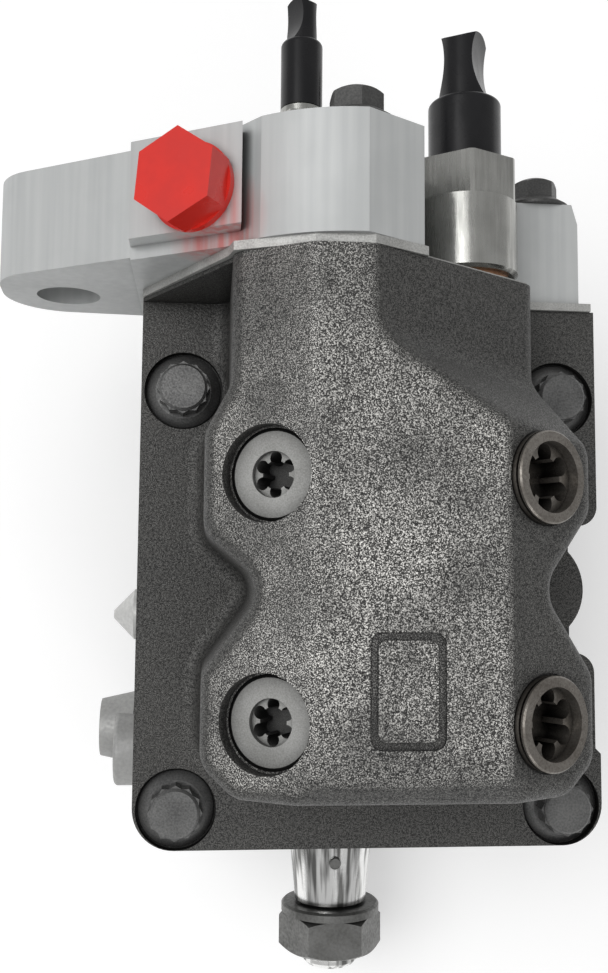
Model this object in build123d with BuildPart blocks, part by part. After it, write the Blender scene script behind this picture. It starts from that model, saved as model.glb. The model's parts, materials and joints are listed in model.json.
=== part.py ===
from build123d import *
import os
from math import atan2, cos, pi, radians, sin, sqrt, tan

# Two-cylinder inline high-pressure diesel injection pump with a gear supply pump at its rear.
# Frame: millimetres. The camshaft turns about the Y axis. y = 0 is the front mounting face,
# the tapered drive end points to -Y, the gear pump lies to +Y and the pumping head to +Z.

os.makedirs("parts", exist_ok=True)

# ---------------------------------------------------------------- fits and clearances
RUN = 0.03                  # radial clearance of a running fit
GAP = 0.3                   # room between pieces that move past each other
FACE_GAP = 0.2              # end play between a turning piece and a wall

# ---------------------------------------------------------------- driving dimensions
CYLINDER_Y = (48.0, 109.0)  # the two pumping elements along the camshaft, front then rear
ELEMENT_NAMES = ("front", "rear")

# pumping head: a plate with a raised block on it
HEAD_MID_X = -0.75          # the head sits a little to the left of the camshaft
HEAD_EDGE = 12.35           # from a head bolt to the side edges of the plate
HEAD_FRONT_EDGE = 11.5      # and to its front edge
REAR_JOINT_Y = 166.0        # rear faces of head and cam housing
HEAD_JOINT_Z = 88.0         # top face of the cam housing
GASKET_THICK = 0.8
PLATE_TOP_Z = 107.0
PLATE_CORNER = 12.0
CROWN_Z = 165.0
CROWN_HALF_WIDTH = 24.0
BLOCK_SIDE_X = 50.5         # outer face of the bosses around the valve ports
BLOCK_REAR_X = 44.0         # left side wall behind the bosses
BLOCK_REAR_RIGHT_X = 40.6   # right side wall behind the bosses
BLOCK_WAIST_X = 35.0        # corner of the side wall between the bosses, before rounding
BLOCK_FRONT_HALF = 41.5     # half of the front wall between its corners
BLOCK_FRONT_Y = 28.5
WAIST_Y = 81.0
BOSS_HALF = 11.5            # half of a boss's straight side along Y
BOSS_WAIST_SETBACK = 3.0    # a boss turns in this much later beside the waist
BLOCK_TAPER_LEFT = 12.0     # length of the slanting wall behind the rear bosses
BLOCK_TAPER_RIGHT = 17.0
BOSS_REAR_TRIM = 4.0
BLOCK_CORNER = 8.0
WAIST_CORNER = 8.0
CROWN_EDGE_R = 6.0
ROOT_R = 5.0
FRONT_BEVEL = 6.0
SCOOP_START_X = -9.0        # the crown falls away to the right of here, behind the ports
SCOOP_SLOPE = 32.6
SCOOP_FRONT = (-8.0, 144.0)  # the step at the front of the fall starts here, in x and y
SCOOP_STEP_TURN = 33.0      # the step runs forward and to the right
SCOOP_STEP_LEAN = 57.0
SCOOP_ROOT_R = 12.0
SCOOP_RIM_R = 6.0
NOTCH_LEDGE = 2.0           # plate left at the bottom of the scallop in its right edge
NOTCH_LENGTH = 38.0
NOTCH_CORNER = 0.67         # outer and inner rounding, as parts of the scallop's depth
NOTCH_ROOT = 0.28
SIDE_RELIEF = 1.6           # right edge set back between the scallop and the front bolt
SIDE_RELIEF_Y = 34.0
LUG_R = 16.3
LUG_X = 47.0
WEB_THICK = 1.2             # gusset at the left rear corner of the head
WEB_TOP_Z = 149.0
PAD_CENTRE_X = -1.0         # blank identification pad framed by a groove on the crown
PAD_CENTRE_Y = 56.5
PAD_WIDTH = 18.5
PAD_LENGTH = 28.0
PAD_GROOVE = 0.8
PAD_GROOVE_WIDTH = 2.0

# M10 flange bolts: twelve-point heads on the pumping head, domed hexagons at the rear
BOLT_R = 5.0
BOLT_CLEAR_R = 5.5
BOLT_FLANGE_R = 10.75
BOLT_FLANGE_RIM = 1.0
BOLT_FLANGE_THICK = 2.8
BOLT_CONE_TOP_R = 8.2
BOLT_DRIVE_R = 7.7
BOLT_TOP_R = 6.85
BOLT_TOP_DISC = 1.2
BOLT_HEAD_HEIGHT = 10.0
REAR_BOLT_FLATS = 13.0
REAR_BOLT_HEIGHT = 10.8
REAR_BOLT_DOME_R = 12.0
BOLT_THREAD_DEPTH = 22.0
HEAD_BOLT_SPAN_X = 112.8
HEAD_BOLT_SPAN_Y = 120.8
HEAD_BOLT_MID_Y = 78.0
SPOTFACE_R = 11.5
SPOTFACE_DEPTH = 3.2
BOLT_POCKET_R = 13.0        # room for a wrench beside the raised block
BOLT_POCKET_HEIGHT = 20.0

# valve ports: two on each flank of the head, leaning outward
PORT_TILT = 30.0
PORT_X = 35.3
PORT_MOUTH_R = 12.3
PORT_THREAD_R = 11.8
PORT_THREAD_DEPTH = 20.0
VALVE_BORE_R = 7.5
VALVE_BORE_DEPTH = 48.0
PASSAGE_R = 2.0
INLET_PLUG_SUNK = 4.0
INLET_PLUG_THICK = 13.0
OUTLET_PLUG_PROUD = 2.7
OUTLET_PLUG_THICK = 16.0
INLET_FACE_R = 10.9
OUTLET_FACE_R = 11.4
INLET_SOCKET_R = 5.9
OUTLET_SOCKET_R = 8.8
OUTLET_COUNTERBORE_R = 9.1
PLUG_GROOVE_R = 11.0        # groove around the part of the outlet plug that stands proud
PLUG_GROOVE_DEEP = (1.0, 1.7)
VALVE_SEAT_THICK = 7.0
VALVE_BALL_R = 3.5
VALVE_LIFT = 0.6
VALVE_SPRING_R = 3.0
VALVE_SPRING_WIRE = 0.8
VALVE_SPRING_TURNS = 5
VALVE_SPRING_DROP = 3.5     # spring foot above the ball's centre, clear of the ball's lift
BALL_SEAT_GAP = 0.05
SOCKET_DEPTH = 7.0
OUTLET_COUNTERBORE_DEPTH = 3.0
INLET_COUNTERBORE_DEPTH = 1.5

# barrel and plunger
BARREL_R = 13.0
BARREL_GUIDE_R = 9.5
BARREL_TOP_Z = 110.0
BARREL_BOTTOM_Z = 72.0
BARREL_CHAMBER_R = 9.8
BARREL_CHAMBER_DEPTH = 2.0
PLUNGER_R = 4.5
SEAL_RING_R = 1.2
SEAL_GROOVE_Z = 98.0

# cam and tappet
CAM_BASE_R = 19.0
CAM_LIFT = 8.0
CAM_NOSE_R = 5.0
LOBE_WIDTH = 20.0
LOBE_ANGLES = (45.0, 135.0)
ROLLER_R = 9.0
ROLLER_WIDTH = 15.0
ROLLER_PIN_R = 4.5
TAPPET_R = 19.0
TAPPET_SKIRT = 6.3          # tappet wall below the roller's axis
TAPPET_FLOOR_THICK = 4.0
TAPPET_CUP_R = 15.5
TAPPET_CUP_DEPTH = 12.0
PLUNGER_FOOT_R = 7.0
PLUNGER_FOOT_THICK = 3.0
RETAINER_THICK = 2.5
SPRING_WIRE_R = 1.6
SPRING_TURNS = 5
SPRING_MEAN_R = 12.6

# camshaft
JOURNAL_FRONT_R = 17.5
JOURNAL_REAR_R = 15.0
SHAFT_CORE_R = 14.0
FRONT_SHOULDER_Y = -10.0
TAPER_START_Y = -12.0
TAPER_LARGE_R = 16.2
TAPER_RATIO = 0.1           # loss of radius for each millimetre of length
TAPER_END_Y = -39.0
THREAD_R = 11.0
THREAD_PITCH = 1.5
THREAD_DEPTH = 0.7
THREAD_END_Y = -61.7
WASHER_R = 18.7
WASHER_THICK = 3.4
NUT_FLATS = 34.0
NUT_THICK = 14.0
INDEX_PIN_R = 2.2
INDEX_PIN_Y = -21.5
INDEX_PIN_PROUD = 1.2
INDEX_PIN_DEPTH = 6.0
GEAR_SHAFT_R = 8.0

# bearings and seal
BUSH_WALL = 3.0
FRONT_BUSH_Y = (6.0, 26.0)
REAR_BUSH_Y = (135.0, 160.0)
SEAL_OUTER_R = 25.0
SEAL_FRONT_Y = -4.0
SEAL_WIDTH = 8.0
SEAL_SHELL = 2.0
SEAL_LIP_THICK = 2.5

# cam housing
FLANGE_MID_Z = 5.0
FLANGE_EDGE_X = 12.0        # from a flange hole to the side edge
FLANGE_EDGE_Z = 11.0
FLANGE_THICK = 11.0
FLANGE_CORNER = 14.0
FLANGE_HOLE_SPAN_X = 100.0
FLANGE_HOLE_SPAN_Z = 92.0
FLANGE_HOLE_R = 5.5
PILOT_R = 40.0
PILOT_LENGTH = 6.0
HOUSING_HALF_WIDTH = 46.0
HOUSING_CORNER = 24.0
RAIL_EDGE = 9.6             # from a head bolt to the side edge of the joint rail
RAIL_SETBACK = 3.4          # rail's front edge behind the head's
RAIL_BOTTOM_Z = 66.0
RIB_TOP_INSET = 4.0
RAIL_CORNER = 8.0
CAVITY_R = 30.0
CAVITY_Y = (26.0, 135.0)
REAR_FLANGE_HALF = 58.0
REAR_FLANGE_THICK = 26.0
RIB_Y = (50.0, 110.0)
RIB_THICK = 6.0
RIB_LOW_Z = 30.0
SIDE_PAD_R = 14.0
SIDE_PAD_PROUD = 3.0
SIDE_SPIGOT_LENGTH = 12.0
RELIEF_SPIGOT_R = 8.0
METERING_SPIGOT_R = 9.0

# rear housing (gear pump body) and port plate
PORT_PLATE_THICK = 2.4
REAR_BODY_THICK = 31.8
PORT_PLATE_PROUD = 1.2
PORT_PLATE_SUNK = 5.5       # below the head's edge beside the outlet connector
LOBE_RIGHT_X = 4.8          # right wall of the upper lobe
SADDLE_Z = 100.0            # dip beside the upper lobe, under the outlet connector
SHOULDER_X = 41.0
SHOULDER_Z = 106.5
SHOULDER_RIGHT_X = 63.6
EAR_X = -93.3
EAR_Z = 92.2
EAR_R = 19.7
EAR_HOLE_R = 9.6
EAR_TOP_X = -95.0            # the ear's upper corner is an arc about this point
EAR_TOP_Z = 99.5
EAR_TOP_R = 17.5
EAR_ROOT_LOW_Z = 71.0
EAR_ROOT_HIGH_Z = 133.2
EAR_SETBACK = 1.5           # ear's front face behind the body's front face
PAD_LEFT = (-71.4, 143.0)   # lower and upper end of the slanting port pad, in x and z
PAD_RIGHT = (-42.3, 159.3)
PAD_HEIGHT = 7.0            # pad over the roof beside it, measured along Z
PAD_FRONT_GAP = 2.0         # pad's front edge behind the ear's front face
PAD_REAR_GAP = 1.9          # pad's rear edge short of the rear face
ROOF_LEFT = (-37.5, 158.3)
ROOF_MIDDLE = (-25.0, 164.3)
ROOF_TOP = (-11.0, 166.5)
LOBE_RIGHT_Z = 157.0
PORT_PLATE_SHOULDER_Z = 155.0
VALLEY_R = 4.0
SADDLE_R = 5.0
SHOULDER_CHAMFER = (6.3, 1.8)  # along Y, then along X
REAR_FLANK_DROP = 30.0      # the side walls widen from this far below the head joint
PORT_PLATE_FLANK_DROP = 20.0

# supply gear pump
GEAR_TEETH = 14
GEAR_MODULE = 2.5
GEAR_PRESSURE_ANGLE = 25.0
GEAR_ADDENDUM = 0.8
GEAR_DEDENDUM = 1.1
GEAR_BACKLASH = 0.3
GEAR_TIP_GAP = 0.1
GEAR_THICK = 14.0
IDLER_PIN_R = 5.0
IDLER_PIN_DEPTH = 10.0

# connectors
OUTLET_X = 24.8
OUTLET_Z = 119.2
OUTLET_FLATS = 27.0
OUTLET_TURN = 35.7
OUTLET_BODY_R = 15.2
OUTLET_CONE_R = 5.0
OUTLET_BODY_LENGTH = 34.2
OUTLET_HEX_LENGTH = 12.5
OUTLET_SPIGOT_R = 9.0
OUTLET_SPIGOT_LENGTH = 14.0
OUTLET_NIPPLE_R = 9.0
OUTLET_NIPPLE_LENGTH = 15.0
OUTLET_BORE_R = 2.0
GALLERY_R = 4.0
SEAL_WASHER_THICK = 2.4
SEAL_WASHER_R = 12.5
RETURN_X = -25.8
RETURN_Z = 140.0
RETURN_FLATS = 12.0
RETURN_HEX_LENGTH = 8.2
RETURN_NIPPLE_R = 4.0
RETURN_NIPPLE_LENGTH = 14.0
RETURN_THREAD_R = 5.0
RETURN_THREAD_LENGTH = 12.0
RETURN_BORE_R = 1.5
RETURN_COLLAR_R = 5.8
RETURN_COLLAR_LENGTH = 1.8
RELIEF_Y = 71.0
RELIEF_Z = 45.0
METERING_Y = 24.4
METERING_Z = 39.0
RELIEF_FLATS = 22.0
RELIEF_HEX_LENGTH = 9.0
RELIEF_BARREL_R = 8.6
RELIEF_BARREL_LENGTH = 16.0
RELIEF_CONE_LENGTH = 7.0
RELIEF_TIP_R = 1.4
RELIEF_PISTON_R = 5.5
RELIEF_PISTON_LENGTH = 12.0
RELIEF_TRAVEL = 4.0
RELIEF_SPRING_R = 4.1
RELIEF_SPRING_WIRE_R = 0.7
RELIEF_SPRING_TURNS = 6
METERING_FLANGE_WIDTH = 24.6
METERING_FLANGE_HEIGHT = 44.0
METERING_FLANGE_CORNER = 4.0
METERING_FLANGE_THICK = 5.0
METERING_SCREW_SPAN = 34.5
METERING_COIL_R = 12.3
METERING_COIL_LENGTH = 26.0
METERING_COIL_EDGE = 1.5
METERING_SOCKET_R = 9.9
METERING_SOCKET_ROOT_R = 12.5
METERING_SOCKET_LENGTH = 5.7
METERING_SOCKET_SUNK = 6.0  # connector cone that runs back beside the coil
METERING_SOCKET_AT = (30.8, 30.0)
SCREW_R = 2.5
SCREW_CLEAR = 0.2
SCREW_DEPTH = 9.0
SCREW_HEAD_R = 4.25
SCREW_HEAD_HEIGHT = 4.0
SCREW_SOCKET_R = 2.3
SCREW_SOCKET_DEPTH = 2.2
CONTACT_SPACING = 2.4
CONTACT_WIDTH = 2.0
CONTACT_THICK = 0.8
CONTACT_LENGTH = 4.5

# protective caps
CAP_WALL = 1.6
CAP_GRIP = 0.1              # cap bore over its nipple, on the radius
OUTLET_CAP_LENGTH = 19.0
OUTLET_CAP_TOTAL = 39.7
OUTLET_CAP_NECK_R = 7.7
OUTLET_CAP_FACING = 30.0    # direction of the flattened side, turned from +X to +Z
RETURN_CAP_LENGTH = 19.0
RETURN_CAP_TOTAL = 31.0
RETURN_CAP_NECK_R = 4.1
RETURN_CAP_FACING = 147.0
CAP_SHOULDER_R = 1.2
CAP_ARCH = 0.3              # drop of the arched end at its corners, as a part of the neck's radius
CAP_WAIST = 0.55            # half thickness where the pinch is deepest, as a part of the neck's radius
CAP_WAIST_DROP = 0.4        # from the end down to there, as a part of the neck's length
PORT_CAP_Y = 182.7
PORT_CAP_UP_PAD = 19.6      # cap's centre from the pad's lower edge, along the slope
PORT_CAP_FLATS = 21.2
PORT_CAP_TURN = -5.6
PORT_CAP_HEX = 8.7
PORT_CAP_FLANGE_R = 11.6
PORT_CAP_FLANGE_THICK = 2.0
PORT_CAP_STEM = 10.0
PORT_CAP_STEM_R = 9.0

# ---------------------------------------------------------------- derived places
HEAD_BASE_Z = HEAD_JOINT_Z + GASKET_THICK
HEAD_LEFT_X = HEAD_MID_X - HEAD_BOLT_SPAN_X / 2 - HEAD_EDGE
HEAD_RIGHT_X = HEAD_MID_X + HEAD_BOLT_SPAN_X / 2 + HEAD_EDGE
HEAD_FRONT_Y = HEAD_BOLT_MID_Y - HEAD_BOLT_SPAN_Y / 2 - HEAD_FRONT_EDGE
NOTCH_X = BLOCK_SIDE_X + ROOT_R + NOTCH_LEDGE
RAIL_HALF_WIDTH = HEAD_BOLT_SPAN_X / 2 + RAIL_EDGE
RAIL_FRONT_Y = HEAD_FRONT_Y + RAIL_SETBACK
FLANGE_WIDTH = FLANGE_HOLE_SPAN_X + 2 * FLANGE_EDGE_X
FLANGE_HEIGHT = FLANGE_HOLE_SPAN_Z + 2 * FLANGE_EDGE_Z
HOUSING_BOTTOM_Z = FLANGE_MID_Z - FLANGE_HEIGHT / 2
BOLT_SEAT_Z = PLATE_TOP_Z - SPOTFACE_DEPTH
PORT_Z = CROWN_Z - (PORT_X - CROWN_HALF_WIDTH) * tan(radians(PORT_TILT))
PORT_Y = tuple(CYLINDER_Y)
ROLLER_TOP_Z = CAM_BASE_R + CAM_LIFT + GAP + ROLLER_R
TAPPET_BOTTOM_Z = ROLLER_TOP_Z - TAPPET_SKIRT
SLOT_TOP_Z = ROLLER_TOP_Z + ROLLER_R + GAP
CUP_FLOOR_Z = SLOT_TOP_Z + TAPPET_FLOOR_THICK
TAPPET_TOP_Z = CUP_FLOOR_Z + TAPPET_CUP_DEPTH
RETAINER_Z = CUP_FLOOR_Z + PLUNGER_FOOT_THICK
SPRING_LOW_Z = RETAINER_Z + RETAINER_THICK
PLUNGER_TOP_Z = BARREL_TOP_Z - BARREL_CHAMBER_DEPTH - 1.0
PORT_PLATE_REAR_Y = REAR_JOINT_Y + PORT_PLATE_THICK
REAR_FACE_Y = PORT_PLATE_REAR_Y + REAR_BODY_THICK
FRONT_BUSH_R = JOURNAL_FRONT_R + RUN + BUSH_WALL
REAR_BUSH_R = JOURNAL_REAR_R + RUN + BUSH_WALL
WASHER_FRONT_Y = TAPER_END_Y - WASHER_THICK
NUT_FRONT_Y = WASHER_FRONT_Y - NUT_THICK
GEAR_PITCH_R = GEAR_TEETH * GEAR_MODULE / 2
GEAR_TIP_R = GEAR_PITCH_R + GEAR_ADDENDUM * GEAR_MODULE
IDLER_Z = 2 * GEAR_PITCH_R
GEAR_FRONT_Y = PORT_PLATE_REAR_Y + FACE_GAP
OUTLET_FRONT_Y = PORT_PLATE_REAR_Y + SEAL_WASHER_THICK
OUTLET_REAR_Y = OUTLET_FRONT_Y + OUTLET_BODY_LENGTH
HEAD_BOLT_PLACES = [
    (HEAD_MID_X + side * HEAD_BOLT_SPAN_X / 2, HEAD_BOLT_MID_Y + end * HEAD_BOLT_SPAN_Y / 2)
    for side in (-1, 1)
    for end in (-1, 1)
]
# rear bolts in x and z: the first three reach into the head, the others into the cam housing
REAR_BOLTS_HIGH = [(-12.5, 153.5), (52.5, 98.0), (-54.0, 98.0)]
REAR_BOLTS_LOW = [(-42.0, -34.0), (42.0, -34.0), (48.0, 40.0), (-48.0, 40.0)]
REAR_BOLT_TURNS = [33.0, 0.0, 17.0, 48.0, 25.0, 8.0, 40.0]
screw_places = [(METERING_Y, METERING_Z + end * METERING_SCREW_SPAN / 2) for end in (-1, 1)]


# ---------------------------------------------------------------- helpers
def save(builder, label):
    builder.part.label = label
    export_step(builder.part, f"parts/{label}.step")


def section(y):
    """Cross-section plane at y, drawn in x and z; a negative extrusion runs to the rear."""
    return Plane.XZ.offset(-y)


def port_plane(side, y, depth=0.0):
    """Plane across a leaning valve port, depth below its mouth; side is -1 left, 1 right."""
    lean = radians(PORT_TILT)
    outward = Vector(side * sin(lean), 0, cos(lean))
    mouth = Vector(side * PORT_X, y, PORT_Z)
    return Plane(origin=mouth - outward * depth, x_dir=(0, 1, 0), z_dir=outward)


def bolt_base(under_head):
    """Conical flange standing on z = 0 and a shank under_head long below the seat."""
    with BuildPart() as base:
        with BuildSketch():
            Circle(BOLT_FLANGE_R)
        extrude(amount=BOLT_FLANGE_RIM)
        with BuildSketch(Plane.XY.offset(BOLT_FLANGE_RIM)):
            Circle(BOLT_FLANGE_R)
        with BuildSketch(Plane.XY.offset(BOLT_FLANGE_THICK)):
            Circle(BOLT_CONE_TOP_R)
        loft()
        with BuildSketch():
            Circle(BOLT_R)
        extrude(amount=-under_head)
        chamfer(base.edges().group_by(Axis.Z)[0], 1.0)
    return base.part


def twelve_point_bolt(under_head):
    """Flange bolt with a twelve-point drive under a plain round top."""
    disc_z = BOLT_HEAD_HEIGHT - BOLT_TOP_DISC
    with BuildPart() as bolt:
        add(bolt_base(under_head))
        with BuildSketch(Plane.XY.offset(BOLT_FLANGE_THICK)):
            RegularPolygon(BOLT_DRIVE_R, 6)
            RegularPolygon(BOLT_DRIVE_R, 6, rotation=30)
        extrude(amount=disc_z - BOLT_FLANGE_THICK)
        with BuildSketch(Plane.XY.offset(disc_z)):
            Circle(BOLT_TOP_R)
        extrude(amount=BOLT_TOP_DISC)
        chamfer(bolt.edges().group_by(Axis.Z)[-1], BOLT_TOP_DISC / 2)
    return bolt.part


def hexagon(flats, turn=0.0):
    """Hexagon by its width across flats, with a corner on +X when turn is 0."""
    with BuildSketch() as outline:
        RegularPolygon(flats / sqrt(3), 6, rotation=turn)
    return outline.sketch


def domed_hex_bolt(under_head, turn):
    """Flange bolt with a hexagon head that ends in a shallow dome."""
    with BuildPart() as bolt:
        with BuildSketch(Plane.XY.offset(BOLT_FLANGE_THICK)):
            add(hexagon(REAR_BOLT_FLATS, turn))
        extrude(amount=REAR_BOLT_HEIGHT - BOLT_FLANGE_THICK)
        with Locations((0, 0, REAR_BOLT_HEIGHT - REAR_BOLT_DOME_R)):
            Sphere(REAR_BOLT_DOME_R, mode=Mode.INTERSECT)
        add(bolt_base(under_head))
    return bolt.part


def lobed_socket(radius):
    """Six-lobe drive socket outline that reaches out to radius."""
    with BuildSketch() as socket:
        Circle(0.62 * radius)
        with PolarLocations(0.72 * radius, 6):
            Circle(0.28 * radius)
    return socket.sketch


def gear_tooth():
    """One involute tooth that points along +X, from below the root to the tip circle."""
    pressure = radians(GEAR_PRESSURE_ANGLE)
    base_r = GEAR_PITCH_R * cos(pressure)
    root_r = GEAR_PITCH_R - GEAR_DEDENDUM * GEAR_MODULE
    half_pitch = pi / (2 * GEAR_TEETH) - GEAR_BACKLASH / (4 * GEAR_PITCH_R)

    def involute(angle):
        return tan(angle) - angle

    def flank_point(radius, side):
        roll = involute(atan2(sqrt(radius**2 - base_r**2), base_r))
        angle = side * (half_pitch + involute(pressure) - roll)
        return (radius * cos(angle), radius * sin(angle))

    radii = [base_r + (GEAR_TIP_R - base_r) * step / 4 for step in range(5)]
    upper = [flank_point(radius, 1) for radius in radii]
    lower = [flank_point(radius, -1) for radius in radii]
    foot_angle = atan2(upper[0][1], upper[0][0])
    foot = (0.95 * root_r * cos(foot_angle), 0.95 * root_r * sin(foot_angle))
    with BuildSketch() as tooth:
        with BuildLine():
            Line(foot, upper[0])
            Spline(*upper)
            ThreePointArc(upper[-1], (GEAR_TIP_R, 0), lower[-1])
            Spline(*reversed(lower))
            Line(lower[0], (foot[0], -foot[1]))
            Line((foot[0], -foot[1]), foot)
        make_face()
    return tooth.sketch


def spur_gear_outline(turn):
    """Gear outline centred on the origin, turned by an angle in degrees."""
    tooth = gear_tooth()
    with BuildSketch() as gear:
        Circle(GEAR_PITCH_R - GEAR_DEDENDUM * GEAR_MODULE)
        with PolarLocations(0, GEAR_TEETH, start_angle=turn):
            add(tooth)
    return gear.sketch


def coil_spring(base_plane, mean_r, wire_r, length, turns):
    """Coil spring that starts on base_plane and is length long over its wire."""
    free = length - 2 * wire_r
    with BuildPart() as coil:
        with BuildLine() as centre_line:
            Helix(pitch=free / turns, height=free, radius=mean_r, center=(0, 0, wire_r))
        start = centre_line.line
        with BuildSketch(Plane(origin=start @ 0, z_dir=start % 0)):
            Circle(wire_r)
        sweep()
    return coil.part.moved(base_plane.location)


# ---------------------------------------------------------------- pumping head
def block_outline():
    """Plan of the raised block: bosses around the ports with waists between them."""
    front_low, front_high = PORT_Y[0] - BOSS_HALF, PORT_Y[0] + BOSS_HALF
    rear_low, rear_high = PORT_Y[1] - BOSS_HALF, PORT_Y[1] + BOSS_HALF
    left = [
        (-BLOCK_REAR_X, REAR_JOINT_Y),
        (-BLOCK_REAR_X, rear_high + BLOCK_TAPER_LEFT),
        (-BLOCK_SIDE_X, rear_high),
        (-BLOCK_SIDE_X, rear_low - BOSS_WAIST_SETBACK),
        (-BLOCK_WAIST_X, WAIST_Y),
        (-BLOCK_SIDE_X, front_high),
        (-BLOCK_SIDE_X, front_low),
        (-BLOCK_FRONT_HALF, BLOCK_FRONT_Y),
    ]
    right = [
        (BLOCK_FRONT_HALF, BLOCK_FRONT_Y),
        (BLOCK_SIDE_X, front_low),
        (BLOCK_SIDE_X, front_high),
        (BLOCK_WAIST_X, WAIST_Y),
        (BLOCK_SIDE_X, rear_low + BOSS_WAIST_SETBACK),
        (BLOCK_SIDE_X, rear_high - BOSS_REAR_TRIM),
        (BLOCK_REAR_RIGHT_X, rear_high + BLOCK_TAPER_RIGHT),
        (BLOCK_REAR_RIGHT_X, REAR_JOINT_Y),
    ]
    with BuildSketch() as outline:
        with BuildLine():
            Polyline(*left, *right, close=True)
        make_face()
        corners = outline.vertices().filter_by(lambda v: v.Y < REAR_JOINT_Y - 1)
        fillet(corners.filter_by(lambda v: abs(v.X) > BLOCK_WAIST_X + 1), BLOCK_CORNER)
        waists = outline.vertices().filter_by(
            lambda v: abs(abs(v.X) - BLOCK_WAIST_X) < 0.1 and abs(v.Y - WAIST_Y) < 0.1
        )
        fillet(waists, WAIST_CORNER)
    return outline.sketch


lean = radians(PORT_TILT)
trims = [
    Plane(origin=(side * CROWN_HALF_WIDTH, 0, CROWN_Z), z_dir=(side * sin(lean), 0, cos(lean)))
    for side in (-1, 1)
]
trims.append(Plane(origin=(0, BLOCK_FRONT_Y + FRONT_BEVEL, CROWN_Z), z_dir=(0, -1, 1)))

# the crown falls to the right behind the ports, down a step that runs across it at a slant
fall = radians(SCOOP_SLOPE)
step_turn = radians(SCOOP_STEP_TURN)
step_lean = radians(SCOOP_STEP_LEAN)
fall_plane = Plane(origin=(SCOOP_START_X, REAR_JOINT_Y, CROWN_Z), z_dir=(sin(fall), 0, cos(fall)))
step_normal = (sin(step_turn) * sin(step_lean), cos(step_turn) * sin(step_lean), cos(step_lean))
step_plane = Plane(origin=(*SCOOP_FRONT, CROWN_Z), z_dir=step_normal)
fall_rear_z = CROWN_Z - (BLOCK_REAR_RIGHT_X - SCOOP_START_X) * tan(fall)
foot_direction = fall_plane.z_dir.cross(step_plane.z_dir).normalized()
with BuildPart() as scoop:
    with Locations((BLOCK_SIDE_X, REAR_JOINT_Y, CROWN_Z)):
        Box(3 * BLOCK_SIDE_X, 3 * BLOCK_SIDE_X, 3 * BLOCK_SIDE_X)
    split(bisect_by=fall_plane, keep=Keep.TOP)
    split(bisect_by=step_plane, keep=Keep.TOP)
    step_foot = scoop.edges().filter_by(
        lambda e: all(
            abs(plane.to_local_coords(e.center()).Z) < 0.01 for plane in (fall_plane, step_plane)
        )
    )
    fillet(step_foot, SCOOP_ROOT_R)

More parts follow.
